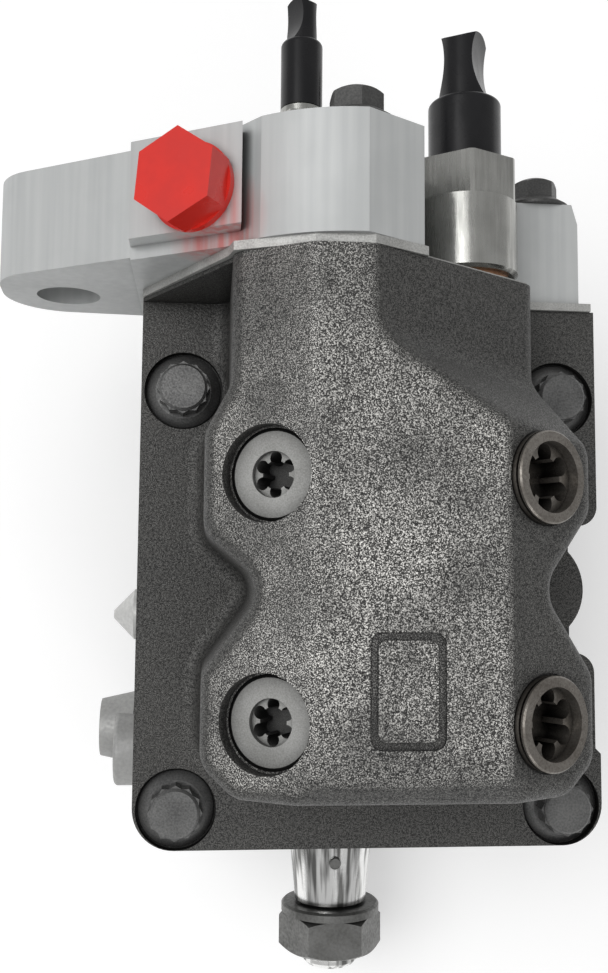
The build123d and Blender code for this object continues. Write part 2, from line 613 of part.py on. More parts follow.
with BuildPart() as pump_head:
    with BuildSketch(Plane.XY.offset(PLATE_TOP_Z - 1.0)):
        add(block_outline())
    extrude(amount=CROWN_Z - PLATE_TOP_Z + 1.0)
    for trim in trims:
        split(bisect_by=trim, keep=Keep.BOTTOM)
    crown_edges = pump_head.edges().filter_by(
        lambda e: e.center().Z > PLATE_TOP_Z + 25 and e.center().Y < REAR_JOINT_Y - 1
    )
    crown_edges = crown_edges.filter_by(lambda e: abs(e.tangent_at(0.5).Z) < 0.9)
    fillet(crown_edges, CROWN_EDGE_R)
    add(scoop, mode=Mode.SUBTRACT)
    scoop_rim = pump_head.edges(Select.NEW).filter_by(
        lambda e: e.center().Y < REAR_JOINT_Y - 1 and abs(e.tangent_at(0.5).dot(foot_direction)) < 0.99
    )
    fillet(scoop_rim, SCOOP_RIM_R)
    with BuildSketch(Plane.XY.offset(HEAD_BASE_Z)) as plate:
        with BuildLine():
            Polyline(
                (HEAD_LEFT_X, REAR_JOINT_Y),
                (HEAD_LEFT_X, HEAD_FRONT_Y),
                (HEAD_RIGHT_X, HEAD_FRONT_Y),
                (HEAD_RIGHT_X, SIDE_RELIEF_Y - SIDE_RELIEF),
                (HEAD_RIGHT_X - SIDE_RELIEF, SIDE_RELIEF_Y),
                (HEAD_RIGHT_X - SIDE_RELIEF, WAIST_Y - NOTCH_LENGTH / 2),
                (NOTCH_X, WAIST_Y - NOTCH_LENGTH / 2),
                (NOTCH_X, WAIST_Y + NOTCH_LENGTH / 2),
                (HEAD_RIGHT_X, WAIST_Y + NOTCH_LENGTH / 2),
                (HEAD_RIGHT_X, REAR_JOINT_Y),
                close=True,
            )
        make_face()
        fillet(plate.vertices().group_by(Axis.Y)[0], PLATE_CORNER)
        notch = plate.vertices().filter_by(lambda v: abs(v.Y - WAIST_Y) < NOTCH_LENGTH / 2 + 1)
        notch_mouth = notch.filter_by(lambda v: v.X > HEAD_RIGHT_X - SIDE_RELIEF - 0.1)
        notch_depth = HEAD_RIGHT_X - SIDE_RELIEF - NOTCH_X
        fillet(notch_mouth, NOTCH_CORNER * notch_depth)
        fillet([v for v in notch if v not in notch_mouth], NOTCH_ROOT * notch_depth)
        with Locations((LUG_X, WAIST_Y)):
            Circle(LUG_R)
    extrude(amount=PLATE_TOP_Z - HEAD_BASE_Z)
    root_edges = pump_head.edges().filter_by(
        lambda e: abs(e.center().Z - PLATE_TOP_Z) < 0.01
        and abs(e.center().X) < BLOCK_SIDE_X + 0.1
        and BLOCK_FRONT_Y - 0.1 < e.center().Y < REAR_JOINT_Y - 0.1
    )
    fillet(root_edges, ROOT_R)
    with BuildSketch(section(REAR_JOINT_Y)):
        with BuildLine():
            Polyline(
                (HEAD_LEFT_X, PLATE_TOP_Z - 1.0),
                (HEAD_LEFT_X, PLATE_TOP_Z),
                (-BLOCK_REAR_X, WEB_TOP_Z),
                (-BLOCK_REAR_X + 2.0, WEB_TOP_Z),
                (-BLOCK_REAR_X + 2.0, PLATE_TOP_Z - 1.0),
                close=True,
            )
        make_face()
    extrude(amount=WEB_THICK)
    # head bolts
    with Locations(*[(x, y, PLATE_TOP_Z) for x, y in HEAD_BOLT_PLACES]):
        Cylinder(
            BOLT_POCKET_R,
            BOLT_POCKET_HEIGHT,
            align=(Align.CENTER, Align.CENTER, Align.MIN),
            mode=Mode.SUBTRACT,
        )
    with Locations(*[(x, y, PLATE_TOP_Z) for x, y in HEAD_BOLT_PLACES]):
        CounterBoreHole(BOLT_CLEAR_R, SPOTFACE_R, SPOTFACE_DEPTH)
    # leaning valve ports
    for y in PORT_Y:
        for side in (-1, 1):
            mouth_depth = INLET_PLUG_SUNK if side < 0 else 0.5
            with Locations(port_plane(side, y)):
                CounterBoreHole(PORT_THREAD_R, PORT_MOUTH_R, mouth_depth, PORT_THREAD_DEPTH)
                Hole(VALVE_BORE_R, VALVE_BORE_DEPTH)
                Hole(PASSAGE_R, (PORT_Z - BARREL_TOP_Z) / cos(lean))
    # barrel bores, open to the joint face
    with BuildSketch(Plane.XY.offset(HEAD_BASE_Z)):
        with Locations(*[(0, y) for y in CYLINDER_Y]):
            Circle(BARREL_R)
    extrude(amount=BARREL_TOP_Z - HEAD_BASE_Z, mode=Mode.SUBTRACT)
    # feed gallery on the left, outlet gallery on the right
    with BuildSketch(section(REAR_JOINT_Y)):
        with Locations((-OUTLET_X, OUTLET_Z), (OUTLET_X, OUTLET_Z)):
            Circle(GALLERY_R)
    extrude(amount=REAR_JOINT_Y - CYLINDER_Y[0], mode=Mode.SUBTRACT)
    with BuildSketch(section(REAR_JOINT_Y)):
        with Locations((OUTLET_X, OUTLET_Z)):
            Circle(OUTLET_SPIGOT_R)
    extrude(amount=OUTLET_SPIGOT_LENGTH, mode=Mode.SUBTRACT)
    with BuildSketch(section(REAR_JOINT_Y)):
        with Locations(*REAR_BOLTS_HIGH):
            Circle(BOLT_R)
    extrude(amount=BOLT_THREAD_DEPTH + 2.0, mode=Mode.SUBTRACT)
    # raised identification pad, left blank
    with BuildSketch(Plane.XY.offset(CROWN_Z)):
        with Locations((PAD_CENTRE_X, PAD_CENTRE_Y)):
            RectangleRounded(PAD_WIDTH, PAD_LENGTH, 1.5 * PAD_GROOVE_WIDTH)
            RectangleRounded(
                PAD_WIDTH - 2 * PAD_GROOVE_WIDTH,
                PAD_LENGTH - 2 * PAD_GROOVE_WIDTH,
                PAD_GROOVE_WIDTH,
                mode=Mode.SUBTRACT,
            )
    extrude(amount=-PAD_GROOVE, mode=Mode.SUBTRACT)
save(pump_head, "pump_head")


def rail_outline():
    """Plan of the joint between head and cam housing."""
    with BuildSketch() as outline:
        with Locations((HEAD_MID_X, (RAIL_FRONT_Y + REAR_JOINT_Y) / 2)):
            Rectangle(2 * RAIL_HALF_WIDTH, REAR_JOINT_Y - RAIL_FRONT_Y)
        fillet(outline.vertices().group_by(Axis.Y)[0], RAIL_CORNER)
    return outline.sketch


with BuildPart() as head_gasket:
    with BuildSketch(Plane.XY.offset(HEAD_JOINT_Z)):
        add(rail_outline())
        with Locations(*[(0, y) for y in CYLINDER_Y]):
            Circle(TAPPET_R + 2.0, mode=Mode.SUBTRACT)
        with Locations(*HEAD_BOLT_PLACES):
            Circle(BOLT_CLEAR_R, mode=Mode.SUBTRACT)
    extrude(amount=GASKET_THICK)
save(head_gasket, "head_gasket")

head_bolt_shank = BOLT_SEAT_Z - HEAD_JOINT_Z + BOLT_THREAD_DEPTH
head_bolt = twelve_point_bolt(head_bolt_shank)
with BuildPart() as head_bolts:
    with Locations(*[(x, y, BOLT_SEAT_Z) for x, y in HEAD_BOLT_PLACES]):
        add(head_bolt)
save(head_bolts, "head_bolts")


# ---------------------------------------------------------------- cam housing
def rear_flange_outline():
    """Lower part of the rear joint face, shared by housing, port plate and rear housing."""
    height = HEAD_JOINT_Z - HOUSING_BOTTOM_Z
    with BuildSketch() as outline:
        with Locations((0, HOUSING_BOTTOM_Z + height / 2)):
            Rectangle(2 * REAR_FLANGE_HALF, height)
        fillet(outline.vertices().group_by(Axis.Y)[0], HOUSING_CORNER)
    return outline.sketch


flange_holes = [
    (side * FLANGE_HOLE_SPAN_X / 2, FLANGE_MID_Z + end * FLANGE_HOLE_SPAN_Z / 2)
    for side in (-1, 1)
    for end in (-1, 1)
]

with BuildPart() as cam_housing:
    with BuildSketch(section(0)):
        with Locations((0, FLANGE_MID_Z)):
            RectangleRounded(FLANGE_WIDTH, FLANGE_HEIGHT, FLANGE_CORNER)
    extrude(amount=-FLANGE_THICK)
    with BuildSketch(section(FLANGE_THICK - 1.0)) as body_section:
        with Locations((0, (RAIL_BOTTOM_Z + HOUSING_BOTTOM_Z) / 2)):
            Rectangle(2 * HOUSING_HALF_WIDTH, RAIL_BOTTOM_Z - HOUSING_BOTTOM_Z)
        fillet(body_section.vertices().group_by(Axis.Y)[0], HOUSING_CORNER)
    extrude(amount=-(REAR_JOINT_Y - FLANGE_THICK + 1.0))
    with BuildSketch(Plane.XY.offset(RAIL_BOTTOM_Z)):
        add(rail_outline())
    extrude(amount=HEAD_JOINT_Z - RAIL_BOTTOM_Z)
    with BuildSketch(section(REAR_JOINT_Y)):
        add(rear_flange_outline())
    extrude(amount=REAR_FLANGE_THICK)
    # ribs that carry the joint rail down to the body
    for rib_y in RIB_Y:
        with BuildSketch(section(rib_y - RIB_THICK / 2)):
            with BuildLine():
                Polyline(
                    (HEAD_MID_X - RAIL_HALF_WIDTH + RIB_TOP_INSET, RAIL_BOTTOM_Z),
                    (-HOUSING_HALF_WIDTH, RIB_LOW_Z),
                    (HOUSING_HALF_WIDTH, RIB_LOW_Z),
                    (HEAD_MID_X + RAIL_HALF_WIDTH - RIB_TOP_INSET, RAIL_BOTTOM_Z),
                    close=True,
                )
            make_face()
        extrude(amount=-RIB_THICK)
    # pads for the side fittings on the left wall
    with BuildSketch(Plane.YZ.offset(-HOUSING_HALF_WIDTH)):
        with Locations((RELIEF_Y, RELIEF_Z)):
            Circle(SIDE_PAD_R)
        with Locations((METERING_Y, METERING_Z)):
            RectangleRounded(METERING_FLANGE_WIDTH, METERING_FLANGE_HEIGHT, METERING_FLANGE_CORNER)
    extrude(amount=-SIDE_PAD_PROUD)
    with BuildSketch(section(0)):
        Circle(PILOT_R)
    extrude(amount=PILOT_LENGTH)
    chamfer(cam_housing.edges().group_by(Axis.Y)[0], 1.0)
    # camshaft cavity, bearing and seal bores
    with BuildSketch(section(CAVITY_Y[0])):
        Circle(CAVITY_R)
    extrude(amount=-(CAVITY_Y[1] - CAVITY_Y[0]), mode=Mode.SUBTRACT)
    with BuildSketch(section(-PILOT_LENGTH)):
        Circle(SEAL_OUTER_R)
    extrude(amount=-(PILOT_LENGTH + FRONT_BUSH_Y[0]), mode=Mode.SUBTRACT)
    with BuildSketch(section(FRONT_BUSH_Y[0])):
        Circle(FRONT_BUSH_R)
    extrude(amount=-(FRONT_BUSH_Y[1] - FRONT_BUSH_Y[0]), mode=Mode.SUBTRACT)
    with BuildSketch(section(REAR_BUSH_Y[0])):
        Circle(REAR_BUSH_R)
    extrude(amount=-(REAR_BUSH_Y[1] - REAR_BUSH_Y[0]), mode=Mode.SUBTRACT)
    with BuildSketch(section(REAR_BUSH_Y[1])):
        Circle(GEAR_SHAFT_R + GAP)
    extrude(amount=-(REAR_JOINT_Y - REAR_BUSH_Y[1]), mode=Mode.SUBTRACT)
    # tappet bores
    with BuildSketch(Plane.XY.offset(HEAD_JOINT_Z)):
        with Locations(*[(0, y) for y in CYLINDER_Y]):
            Circle(TAPPET_R + RUN)
    extrude(amount=-(HEAD_JOINT_Z), mode=Mode.SUBTRACT)
    # tapped holes for the head bolts and rear bolts
    with BuildSketch(Plane.XY.offset(HEAD_JOINT_Z)):
        with Locations(*HEAD_BOLT_PLACES):
            Circle(BOLT_R)
    extrude(amount=-(BOLT_THREAD_DEPTH + 2.0), mode=Mode.SUBTRACT)
    with BuildSketch(section(REAR_JOINT_Y)):
        with Locations(*REAR_BOLTS_LOW):
            Circle(BOLT_R)
    extrude(amount=BOLT_THREAD_DEPTH + 2.0, mode=Mode.SUBTRACT)
    with BuildSketch(section(0)):
        with Locations(*flange_holes):
            Circle(FLANGE_HOLE_R)
    extrude(amount=-FLANGE_THICK, mode=Mode.SUBTRACT)
    # threaded ports of the side fittings
    with BuildSketch(Plane.YZ.offset(-HOUSING_HALF_WIDTH - SIDE_PAD_PROUD)):
        with Locations((RELIEF_Y, RELIEF_Z)):
            Circle(RELIEF_SPIGOT_R)
        with Locations((METERING_Y, METERING_Z)):
            Circle(METERING_SPIGOT_R)
    extrude(amount=SIDE_SPIGOT_LENGTH + 1.0, mode=Mode.SUBTRACT)
    with BuildSketch(Plane.YZ.offset(-HOUSING_HALF_WIDTH - SIDE_PAD_PROUD)):
        with Locations(*screw_places):
            Circle(SCREW_R)
    extrude(amount=SCREW_DEPTH + 1.0, mode=Mode.SUBTRACT)
save(cam_housing, "cam_housing")

# ---------------------------------------------------------------- bearings and front seal
for bush_name, bush_y, journal_r in (
    ("front_bearing_bush", FRONT_BUSH_Y, JOURNAL_FRONT_R),
    ("rear_bearing_bush", REAR_BUSH_Y, JOURNAL_REAR_R),
):
    with BuildPart() as bush:
        with BuildSketch(section(bush_y[0])):
            Circle(journal_r + RUN + BUSH_WALL)
            Circle(journal_r + RUN, mode=Mode.SUBTRACT)
        extrude(amount=-(bush_y[1] - bush_y[0]))
    save(bush, bush_name)

with BuildPart() as shaft_seal:
    with BuildSketch(Plane.XY):
        with BuildLine():
            Polyline(
                (SEAL_OUTER_R, SEAL_FRONT_Y),
                (SEAL_OUTER_R, SEAL_FRONT_Y + SEAL_WIDTH),
                (SEAL_OUTER_R - SEAL_SHELL, SEAL_FRONT_Y + SEAL_WIDTH),
                (SEAL_OUTER_R - SEAL_SHELL, SEAL_FRONT_Y + SEAL_SHELL),
                (JOURNAL_FRONT_R + SEAL_LIP_THICK, SEAL_FRONT_Y + SEAL_SHELL),
                (JOURNAL_FRONT_R + SEAL_LIP_THICK, SEAL_FRONT_Y + SEAL_WIDTH - 1.0),
                (JOURNAL_FRONT_R + RUN, SEAL_FRONT_Y + SEAL_WIDTH - SEAL_SHELL),
                (JOURNAL_FRONT_R + RUN, SEAL_FRONT_Y),
                close=True,
            )
        make_face()
    revolve(axis=Axis.Y)
save(shaft_seal, "shaft_seal")


# ---------------------------------------------------------------- camshaft and drive end
def taper_radius(y):
    return TAPER_LARGE_R - TAPER_RATIO * (TAPER_START_Y - y)


def thread_profile(start_y, end_y):
    """Points of a V-grooved edge from start_y to end_y, in radius and y."""
    points = []
    grooves = int((start_y - end_y) / THREAD_PITCH)
    for groove in range(grooves):
        crest_y = start_y - groove * THREAD_PITCH
        points.append((THREAD_R, crest_y))
        points.append((THREAD_R - THREAD_DEPTH, crest_y - THREAD_PITCH / 2))
    return points


thread_start_y = NUT_FRONT_Y - 0.3
thread_end_y = THREAD_END_Y + 1.5
with BuildPart() as camshaft:
    with BuildSketch(Plane.XY):
        with BuildLine():
            Polyline(
                (0, THREAD_END_Y),
                (THREAD_R - 2.0, THREAD_END_Y),
                (THREAD_R - THREAD_DEPTH, thread_end_y),
                *reversed(thread_profile(thread_start_y, thread_end_y)),
                (THREAD_R, TAPER_END_Y),
                (taper_radius(TAPER_END_Y + 1.0), TAPER_END_Y + 1.0),
                (TAPER_LARGE_R, TAPER_START_Y),
                (JOURNAL_FRONT_R, FRONT_SHOULDER_Y),
                (JOURNAL_FRONT_R, FRONT_BUSH_Y[1]),
                (SHAFT_CORE_R, FRONT_BUSH_Y[1] + 2.0),
                (SHAFT_CORE_R, REAR_BUSH_Y[0] - 2.0),
                (JOURNAL_REAR_R, REAR_BUSH_Y[0]),
                (JOURNAL_REAR_R, REAR_BUSH_Y[1]),
                (GEAR_SHAFT_R, REAR_BUSH_Y[1]),
                (GEAR_SHAFT_R, GEAR_FRONT_Y + GEAR_THICK),
                (0, GEAR_FRONT_Y + GEAR_THICK),
                close=True,
            )
        make_face()
    revolve(axis=Axis.Y)
    for y, lobe_angle in zip(CYLINDER_Y, LOBE_ANGLES):
        nose_reach = CAM_BASE_R + CAM_LIFT - CAM_NOSE_R
        with BuildSketch(section(y - LOBE_WIDTH / 2)) as lobe:
            Circle(CAM_BASE_R)
            with PolarLocations(nose_reach, 2, start_angle=lobe_angle):
                Circle(CAM_NOSE_R)
            make_hull()
        extrude(amount=-LOBE_WIDTH)
    with Locations(Plane(origin=(0, INDEX_PIN_Y, taper_radius(INDEX_PIN_Y)), z_dir=(0, 0, 1))):
        Hole(INDEX_PIN_R, INDEX_PIN_DEPTH)
save(camshaft, "camshaft")

with BuildPart() as index_pin:
    with BuildSketch(Plane.XY.offset(taper_radius(INDEX_PIN_Y) - INDEX_PIN_DEPTH)):
        with Locations((0, INDEX_PIN_Y)):
            Circle(INDEX_PIN_R)
    extrude(amount=INDEX_PIN_DEPTH + INDEX_PIN_PROUD)
    chamfer(index_pin.edges().group_by(Axis.Z)[-1], 0.4)
save(index_pin, "index_pin")

with BuildPart() as shaft_washer:
    with BuildSketch(section(TAPER_END_Y)):
        Circle(WASHER_R)
        Circle(THREAD_R, mode=Mode.SUBTRACT)
    extrude(amount=WASHER_THICK)
    chamfer(shaft_washer.edges().group_by(Axis.Y)[-1].sort_by(SortBy.RADIUS)[-1], 0.8)
save(shaft_washer, "shaft_washer")

with BuildPart() as shaft_nut:
    with BuildSketch(section(WASHER_FRONT_Y)):
        add(hexagon(NUT_FLATS))
    extrude(amount=NUT_THICK)
    # turned 30 degree chamfer on both ends of the hexagon
    with BuildSketch(Plane.XY):
        rim = NUT_FLATS / 2
        with BuildLine():
            Polyline(
                (0, NUT_FRONT_Y),
                (rim - 0.5, NUT_FRONT_Y),
                (rim + 4.0, NUT_FRONT_Y + 2.6),
                (rim + 4.0, WASHER_FRONT_Y - 2.6),
                (rim - 0.5, WASHER_FRONT_Y),
                (0, WASHER_FRONT_Y),
                close=True,
            )
        make_face()
    revolve(axis=Axis.Y, mode=Mode.INTERSECT)
    with BuildSketch(section(WASHER_FRONT_Y)):
        Circle(THREAD_R)
    extrude(amount=NUT_THICK, mode=Mode.SUBTRACT)
save(shaft_nut, "shaft_nut")

# ---------------------------------------------------------------- tappets, plungers and barrels
for name, y in zip(ELEMENT_NAMES, CYLINDER_Y):
    with BuildPart() as tappet:
        with BuildSketch(Plane.XY.offset(TAPPET_BOTTOM_Z)):
            with Locations((0, y)):
                Circle(TAPPET_R)
        extrude(amount=TAPPET_TOP_Z - TAPPET_BOTTOM_Z)
        with BuildSketch(Plane.XY.offset(TAPPET_TOP_Z)):
            with Locations((0, y)):
                Circle(TAPPET_CUP_R)
        extrude(amount=-TAPPET_CUP_DEPTH, mode=Mode.SUBTRACT)
        with BuildSketch(Plane.XY.offset(TAPPET_BOTTOM_Z)):
            with Locations((0, y)):
                Rectangle(2 * TAPPET_R + 1.0, ROLLER_WIDTH + 2 * GAP)
        extrude(amount=SLOT_TOP_Z - TAPPET_BOTTOM_Z, mode=Mode.SUBTRACT)
        with BuildSketch(section(y - TAPPET_R)):
            with Locations((0, ROLLER_TOP_Z)):
                Circle(ROLLER_PIN_R)
        extrude(amount=-2 * TAPPET_R, mode=Mode.SUBTRACT)
    save(tappet, f"tappet_{name}")

    with BuildPart() as roller:
        with BuildSketch(section(y - ROLLER_WIDTH / 2)):
            with Locations((0, ROLLER_TOP_Z)):
                Circle(ROLLER_R)
                Circle(ROLLER_PIN_R + RUN, mode=Mode.SUBTRACT)
        extrude(amount=-ROLLER_WIDTH)
        chamfer(roller.edges().filter_by(GeomType.CIRCLE).sort_by(SortBy.RADIUS)[-2:], 0.5)
    save(roller, f"roller_{name}")

    pin_half = TAPPET_R - 1.2
    with BuildPart() as roller_pin:
        with BuildSketch(section(y - pin_half)):
            with Locations((0, ROLLER_TOP_Z)):
                Circle(ROLLER_PIN_R)
        extrude(amount=-2 * pin_half)
    save(roller_pin, f"roller_pin_{name}")

    with BuildPart() as plunger:
        with BuildSketch(Plane.XY.offset(CUP_FLOOR_Z)):
            with Locations((0, y)):
                Circle(PLUNGER_FOOT_R)
        extrude(amount=PLUNGER_FOOT_THICK)
        with BuildSketch(Plane.XY.offset(CUP_FLOOR_Z)):
            with Locations((0, y)):
                Circle(PLUNGER_R)
        extrude(amount=PLUNGER_TOP_Z - CUP_FLOOR_Z)
        chamfer(plunger.edges().group_by(Axis.Z)[-1], 0.3)
    save(plunger, f"plunger_{name}")

    with BuildPart() as spring_retainer:
        with BuildSketch(Plane.XY.offset(RETAINER_Z)):
            with Locations((0, y)):
                Circle(TAPPET_CUP_R - GAP)
                Circle(PLUNGER_R, mode=Mode.SUBTRACT)
        extrude(amount=RETAINER_THICK)
    save(spring_retainer, f"spring_retainer_{name}")

    spring_room = HEAD_BASE_Z - SPRING_LOW_Z
    spring_foot = Plane(origin=(0, y, SPRING_LOW_Z + 0.05))
    with BuildPart() as tappet_spring:
        add(coil_spring(spring_foot, SPRING_MEAN_R, SPRING_WIRE_R, spring_room - 0.1, SPRING_TURNS))
    save(tappet_spring, f"tappet_spring_{name}")

    with BuildPart() as barrel:
        with BuildSketch(Plane.XY.offset(BARREL_BOTTOM_Z)):
            with Locations((0, y)):
                Circle(BARREL_GUIDE_R)
        extrude(amount=HEAD_BASE_Z - BARREL_BOTTOM_Z)
        with BuildSketch(Plane.XY.offset(HEAD_BASE_Z)):
            with Locations((0, y)):
                Circle(BARREL_R)
        extrude(amount=BARREL_TOP_Z - HEAD_BASE_Z)
        with Locations((0, y, BARREL_TOP_Z)):
            CounterBoreHole(PLUNGER_R + RUN, BARREL_CHAMBER_R, BARREL_CHAMBER_DEPTH)
        with BuildSketch(section(y)):
            with Locations((BARREL_R - SEAL_RING_R, SEAL_GROOVE_Z)):
                Rectangle(2 * SEAL_RING_R, 2.4 * SEAL_RING_R)
        revolve(axis=Axis(origin=(0, y, 0), direction=(0, 0, 1)), mode=Mode.SUBTRACT)
    save(barrel, f"barrel_{name}")

with BuildPart() as barrel_seals:
    for y in CYLINDER_Y:
        with BuildSketch(section(y)):
            with Locations((BARREL_R - SEAL_RING_R, SEAL_GROOVE_Z)):
                Circle(SEAL_RING_R - 0.02)
        revolve(axis=Axis(origin=(0, y, 0), direction=(0, 0, 1)))
save(barrel_seals, "barrel_seals")


# ---------------------------------------------------------------- port plate and rear housing
pad_run = Vector(PAD_RIGHT[0] - PAD_LEFT[0], 0, PAD_RIGHT[1] - PAD_LEFT[1]).normalized()
pad_normal = Vector(-pad_run.Z, 0, pad_run.X)
port_cap_on_pad = Vector(PAD_LEFT[0], PORT_CAP_Y, PAD_LEFT[1]) + pad_run * PORT_CAP_UP_PAD


def pad_plane(height=0.0):
    """Plane along the slanting pad at the capped port, height above the pad."""
    return Plane(origin=port_cap_on_pad + pad_normal * height, x_dir=(0, 1, 0), z_dir=pad_normal)


rear_bolt_places = REAR_BOLTS_HIGH + REAR_BOLTS_LOW
plate_step_x = LOBE_RIGHT_X + PORT_PLATE_PROUD
plate_step_z = CROWN_Z - (plate_step_x - SCOOP_START_X) * tan(fall)

with BuildPart() as port_plate:
    with BuildSketch(section(REAR_JOINT_Y)):
        add(rear_flange_outline())
        with BuildLine():
            Polyline(
                (-REAR_FLANGE_HALF, HEAD_JOINT_Z - PORT_PLATE_FLANK_DROP),
                (HEAD_LEFT_X, HEAD_BASE_Z),
                (HEAD_LEFT_X, PLATE_TOP_Z + PORT_PLATE_PROUD),
                (-BLOCK_REAR_X - PORT_PLATE_PROUD, WEB_TOP_Z + PORT_PLATE_PROUD),
                (-BLOCK_REAR_X, PORT_PLATE_SHOULDER_Z),
                (-CROWN_HALF_WIDTH, CROWN_Z - PORT_PLATE_PROUD),
                (SCOOP_START_X, CROWN_Z),
                (plate_step_x, plate_step_z + PORT_PLATE_PROUD),
                (plate_step_x, plate_step_z - PORT_PLATE_SUNK),
                (BLOCK_REAR_RIGHT_X, fall_rear_z - PORT_PLATE_SUNK),
                (BLOCK_REAR_RIGHT_X, PLATE_TOP_Z + PORT_PLATE_PROUD),
                (HEAD_RIGHT_X - PORT_PLATE_PROUD, PLATE_TOP_Z + PORT_PLATE_PROUD),
                (HEAD_RIGHT_X - PORT_PLATE_PROUD, HEAD_BASE_Z),
                (REAR_FLANGE_HALF, HEAD_JOINT_Z - PORT_PLATE_FLANK_DROP),
                close=True,
            )
        make_face()
        Circle(GEAR_SHAFT_R + GAP, mode=Mode.SUBTRACT)
        with Locations((-OUTLET_X, OUTLET_Z)):
            Circle(GALLERY_R, mode=Mode.SUBTRACT)
        with Locations((OUTLET_X, OUTLET_Z)):
            Circle(OUTLET_SPIGOT_R, mode=Mode.SUBTRACT)
        with Locations(*rear_bolt_places):
            Circle(BOLT_CLEAR_R, mode=Mode.SUBTRACT)
    extrude(amount=-PORT_PLATE_THICK)
save(port_plate, "port_plate")

ear_front_y = PORT_PLATE_REAR_Y + EAR_SETBACK
body_left = (PAD_LEFT[0], PAD_LEFT[1] - PAD_HEIGHT)
body_pad_end = (PAD_RIGHT[0], PAD_RIGHT[1] - PAD_HEIGHT)
with BuildPart() as rear_housing:
    with BuildSketch(section(PORT_PLATE_REAR_Y)):
        add(rear_flange_outline())
        with BuildLine():
            Polyline(
                (LOBE_RIGHT_X, LOBE_RIGHT_Z),
                (LOBE_RIGHT_X, SADDLE_Z),
                (SHOULDER_X, SADDLE_Z),
                (SHOULDER_X, SHOULDER_Z),
                (SHOULDER_RIGHT_X, SHOULDER_Z),
                (SHOULDER_RIGHT_X, HEAD_JOINT_Z - REAR_FLANK_DROP / 2),
                (REAR_FLANGE_HALF, HEAD_JOINT_Z - REAR_FLANK_DROP),
                (-REAR_FLANGE_HALF, HEAD_JOINT_Z - REAR_FLANK_DROP),
                (PAD_LEFT[0], EAR_ROOT_LOW_Z),
                body_left,
                body_pad_end,
                ROOF_LEFT,
            )
            ThreePointArc(ROOF_LEFT, ROOF_MIDDLE, ROOF_TOP)
            Line(ROOF_TOP, (LOBE_RIGHT_X, LOBE_RIGHT_Z))
        make_face()
    extrude(amount=-REAR_BODY_THICK)
    # ear that carries the pump's rear support
    with BuildSketch(section(ear_front_y)):
        with Locations((EAR_X, EAR_Z)):
            Circle(EAR_R)
        with Locations((EAR_TOP_X, EAR_TOP_Z)):
            Circle(EAR_TOP_R)
        with Locations((PAD_LEFT[0] + 1.0, (EAR_ROOT_LOW_Z + EAR_ROOT_HIGH_Z) / 2)):
            Rectangle(2.0, EAR_ROOT_HIGH_Z - EAR_ROOT_LOW_Z)
        make_hull()
    extrude(amount=-(REAR_FACE_Y - ear_front_y))
    valley = rear_housing.edges().filter_by(Axis.Y).filter_by(
        lambda e: abs(e.center().X - body_pad_end[0]) < 0.1 and e.center().Z > body_pad_end[1] - 0.1
    )
    fillet(valley, VALLEY_R)
    saddle = rear_housing.edges().filter_by(Axis.Y).filter_by(
        lambda e: abs(e.center().Z - SADDLE_Z) < 0.1 and e.center().X > 0
    )
    fillet(saddle, SADDLE_R)
    # raised pad for the capped port
    with BuildSketch(section(ear_front_y + PAD_FRONT_GAP)):
        with BuildLine():
            Polyline(
                PAD_LEFT,
                PAD_RIGHT,
                (PAD_RIGHT[0], PAD_RIGHT[1] - 1.5 * PAD_HEIGHT),
                (PAD_LEFT[0], PAD_LEFT[1] - 1.5 * PAD_HEIGHT),
                close=True,
            )
        make_face()
    extrude(amount=-(REAR_FACE_Y - PAD_REAR_GAP - ear_front_y - PAD_FRONT_GAP))
    corner = rear_housing.edges().filter_by(Axis.Z).filter_by(
        lambda e: e.center().X > SHOULDER_RIGHT_X - 0.1 and e.center().Y > REAR_FACE_Y - 0.1
    )
    right_wall = rear_housing.faces().filter_by(Axis.X).sort_by(Axis.X)[-1]
    chamfer(corner, *SHOULDER_CHAMFER, reference=right_wall)
    # gear pockets and idler pin bore
    with BuildSketch(section(PORT_PLATE_REAR_Y)):
        with Locations((0, 0), (0, IDLER_Z)):
            Circle(GEAR_TIP_R + GEAR_TIP_GAP)
    extrude(amount=-(GEAR_THICK + 2 * FACE_GAP), mode=Mode.SUBTRACT)
    with BuildSketch(section(GEAR_FRONT_Y + GEAR_THICK)):
        with Locations((0, IDLER_Z)):
            Circle(IDLER_PIN_R)
    extrude(amount=-IDLER_PIN_DEPTH, mode=Mode.SUBTRACT)
    with BuildSketch(section(PORT_PLATE_REAR_Y)):
        with Locations((-OUTLET_X, OUTLET_Z)):
            Circle(GALLERY_R)
    extrude(amount=-REAR_BODY_THICK / 2, mode=Mode.SUBTRACT)
    with BuildSketch(section(REAR_FACE_Y)):
        with Locations(*rear_bolt_places):
            Circle(BOLT_CLEAR_R)
        with Locations((EAR_X, EAR_Z)):
            Circle(EAR_HOLE_R)
    extrude(amount=REAR_BODY_THICK, mode=Mode.SUBTRACT)
    with BuildSketch(section(REAR_FACE_Y)):
        with Locations((RETURN_X, RETURN_Z)):
            Circle(RETURN_THREAD_R)
    extrude(amount=RETURN_THREAD_LENGTH + 2.0, mode=Mode.SUBTRACT)
    with Locations(pad_plane()):
        Hole(PORT_CAP_STEM_R, PORT_CAP_STEM + 4.0)
save(rear_housing, "rear_housing")

rear_bolt_shank = REAR_BODY_THICK + PORT_PLATE_THICK + BOLT_THREAD_DEPTH
with BuildPart() as rear_bolts:
    for (x, z), turn in zip(rear_bolt_places, REAR_BOLT_TURNS):
        with Locations(Location((x, REAR_FACE_Y, z), (-90, 0, 0))):
            add(domed_hex_bolt(rear_bolt_shank, turn))
save(rear_bolts, "rear_bolts")

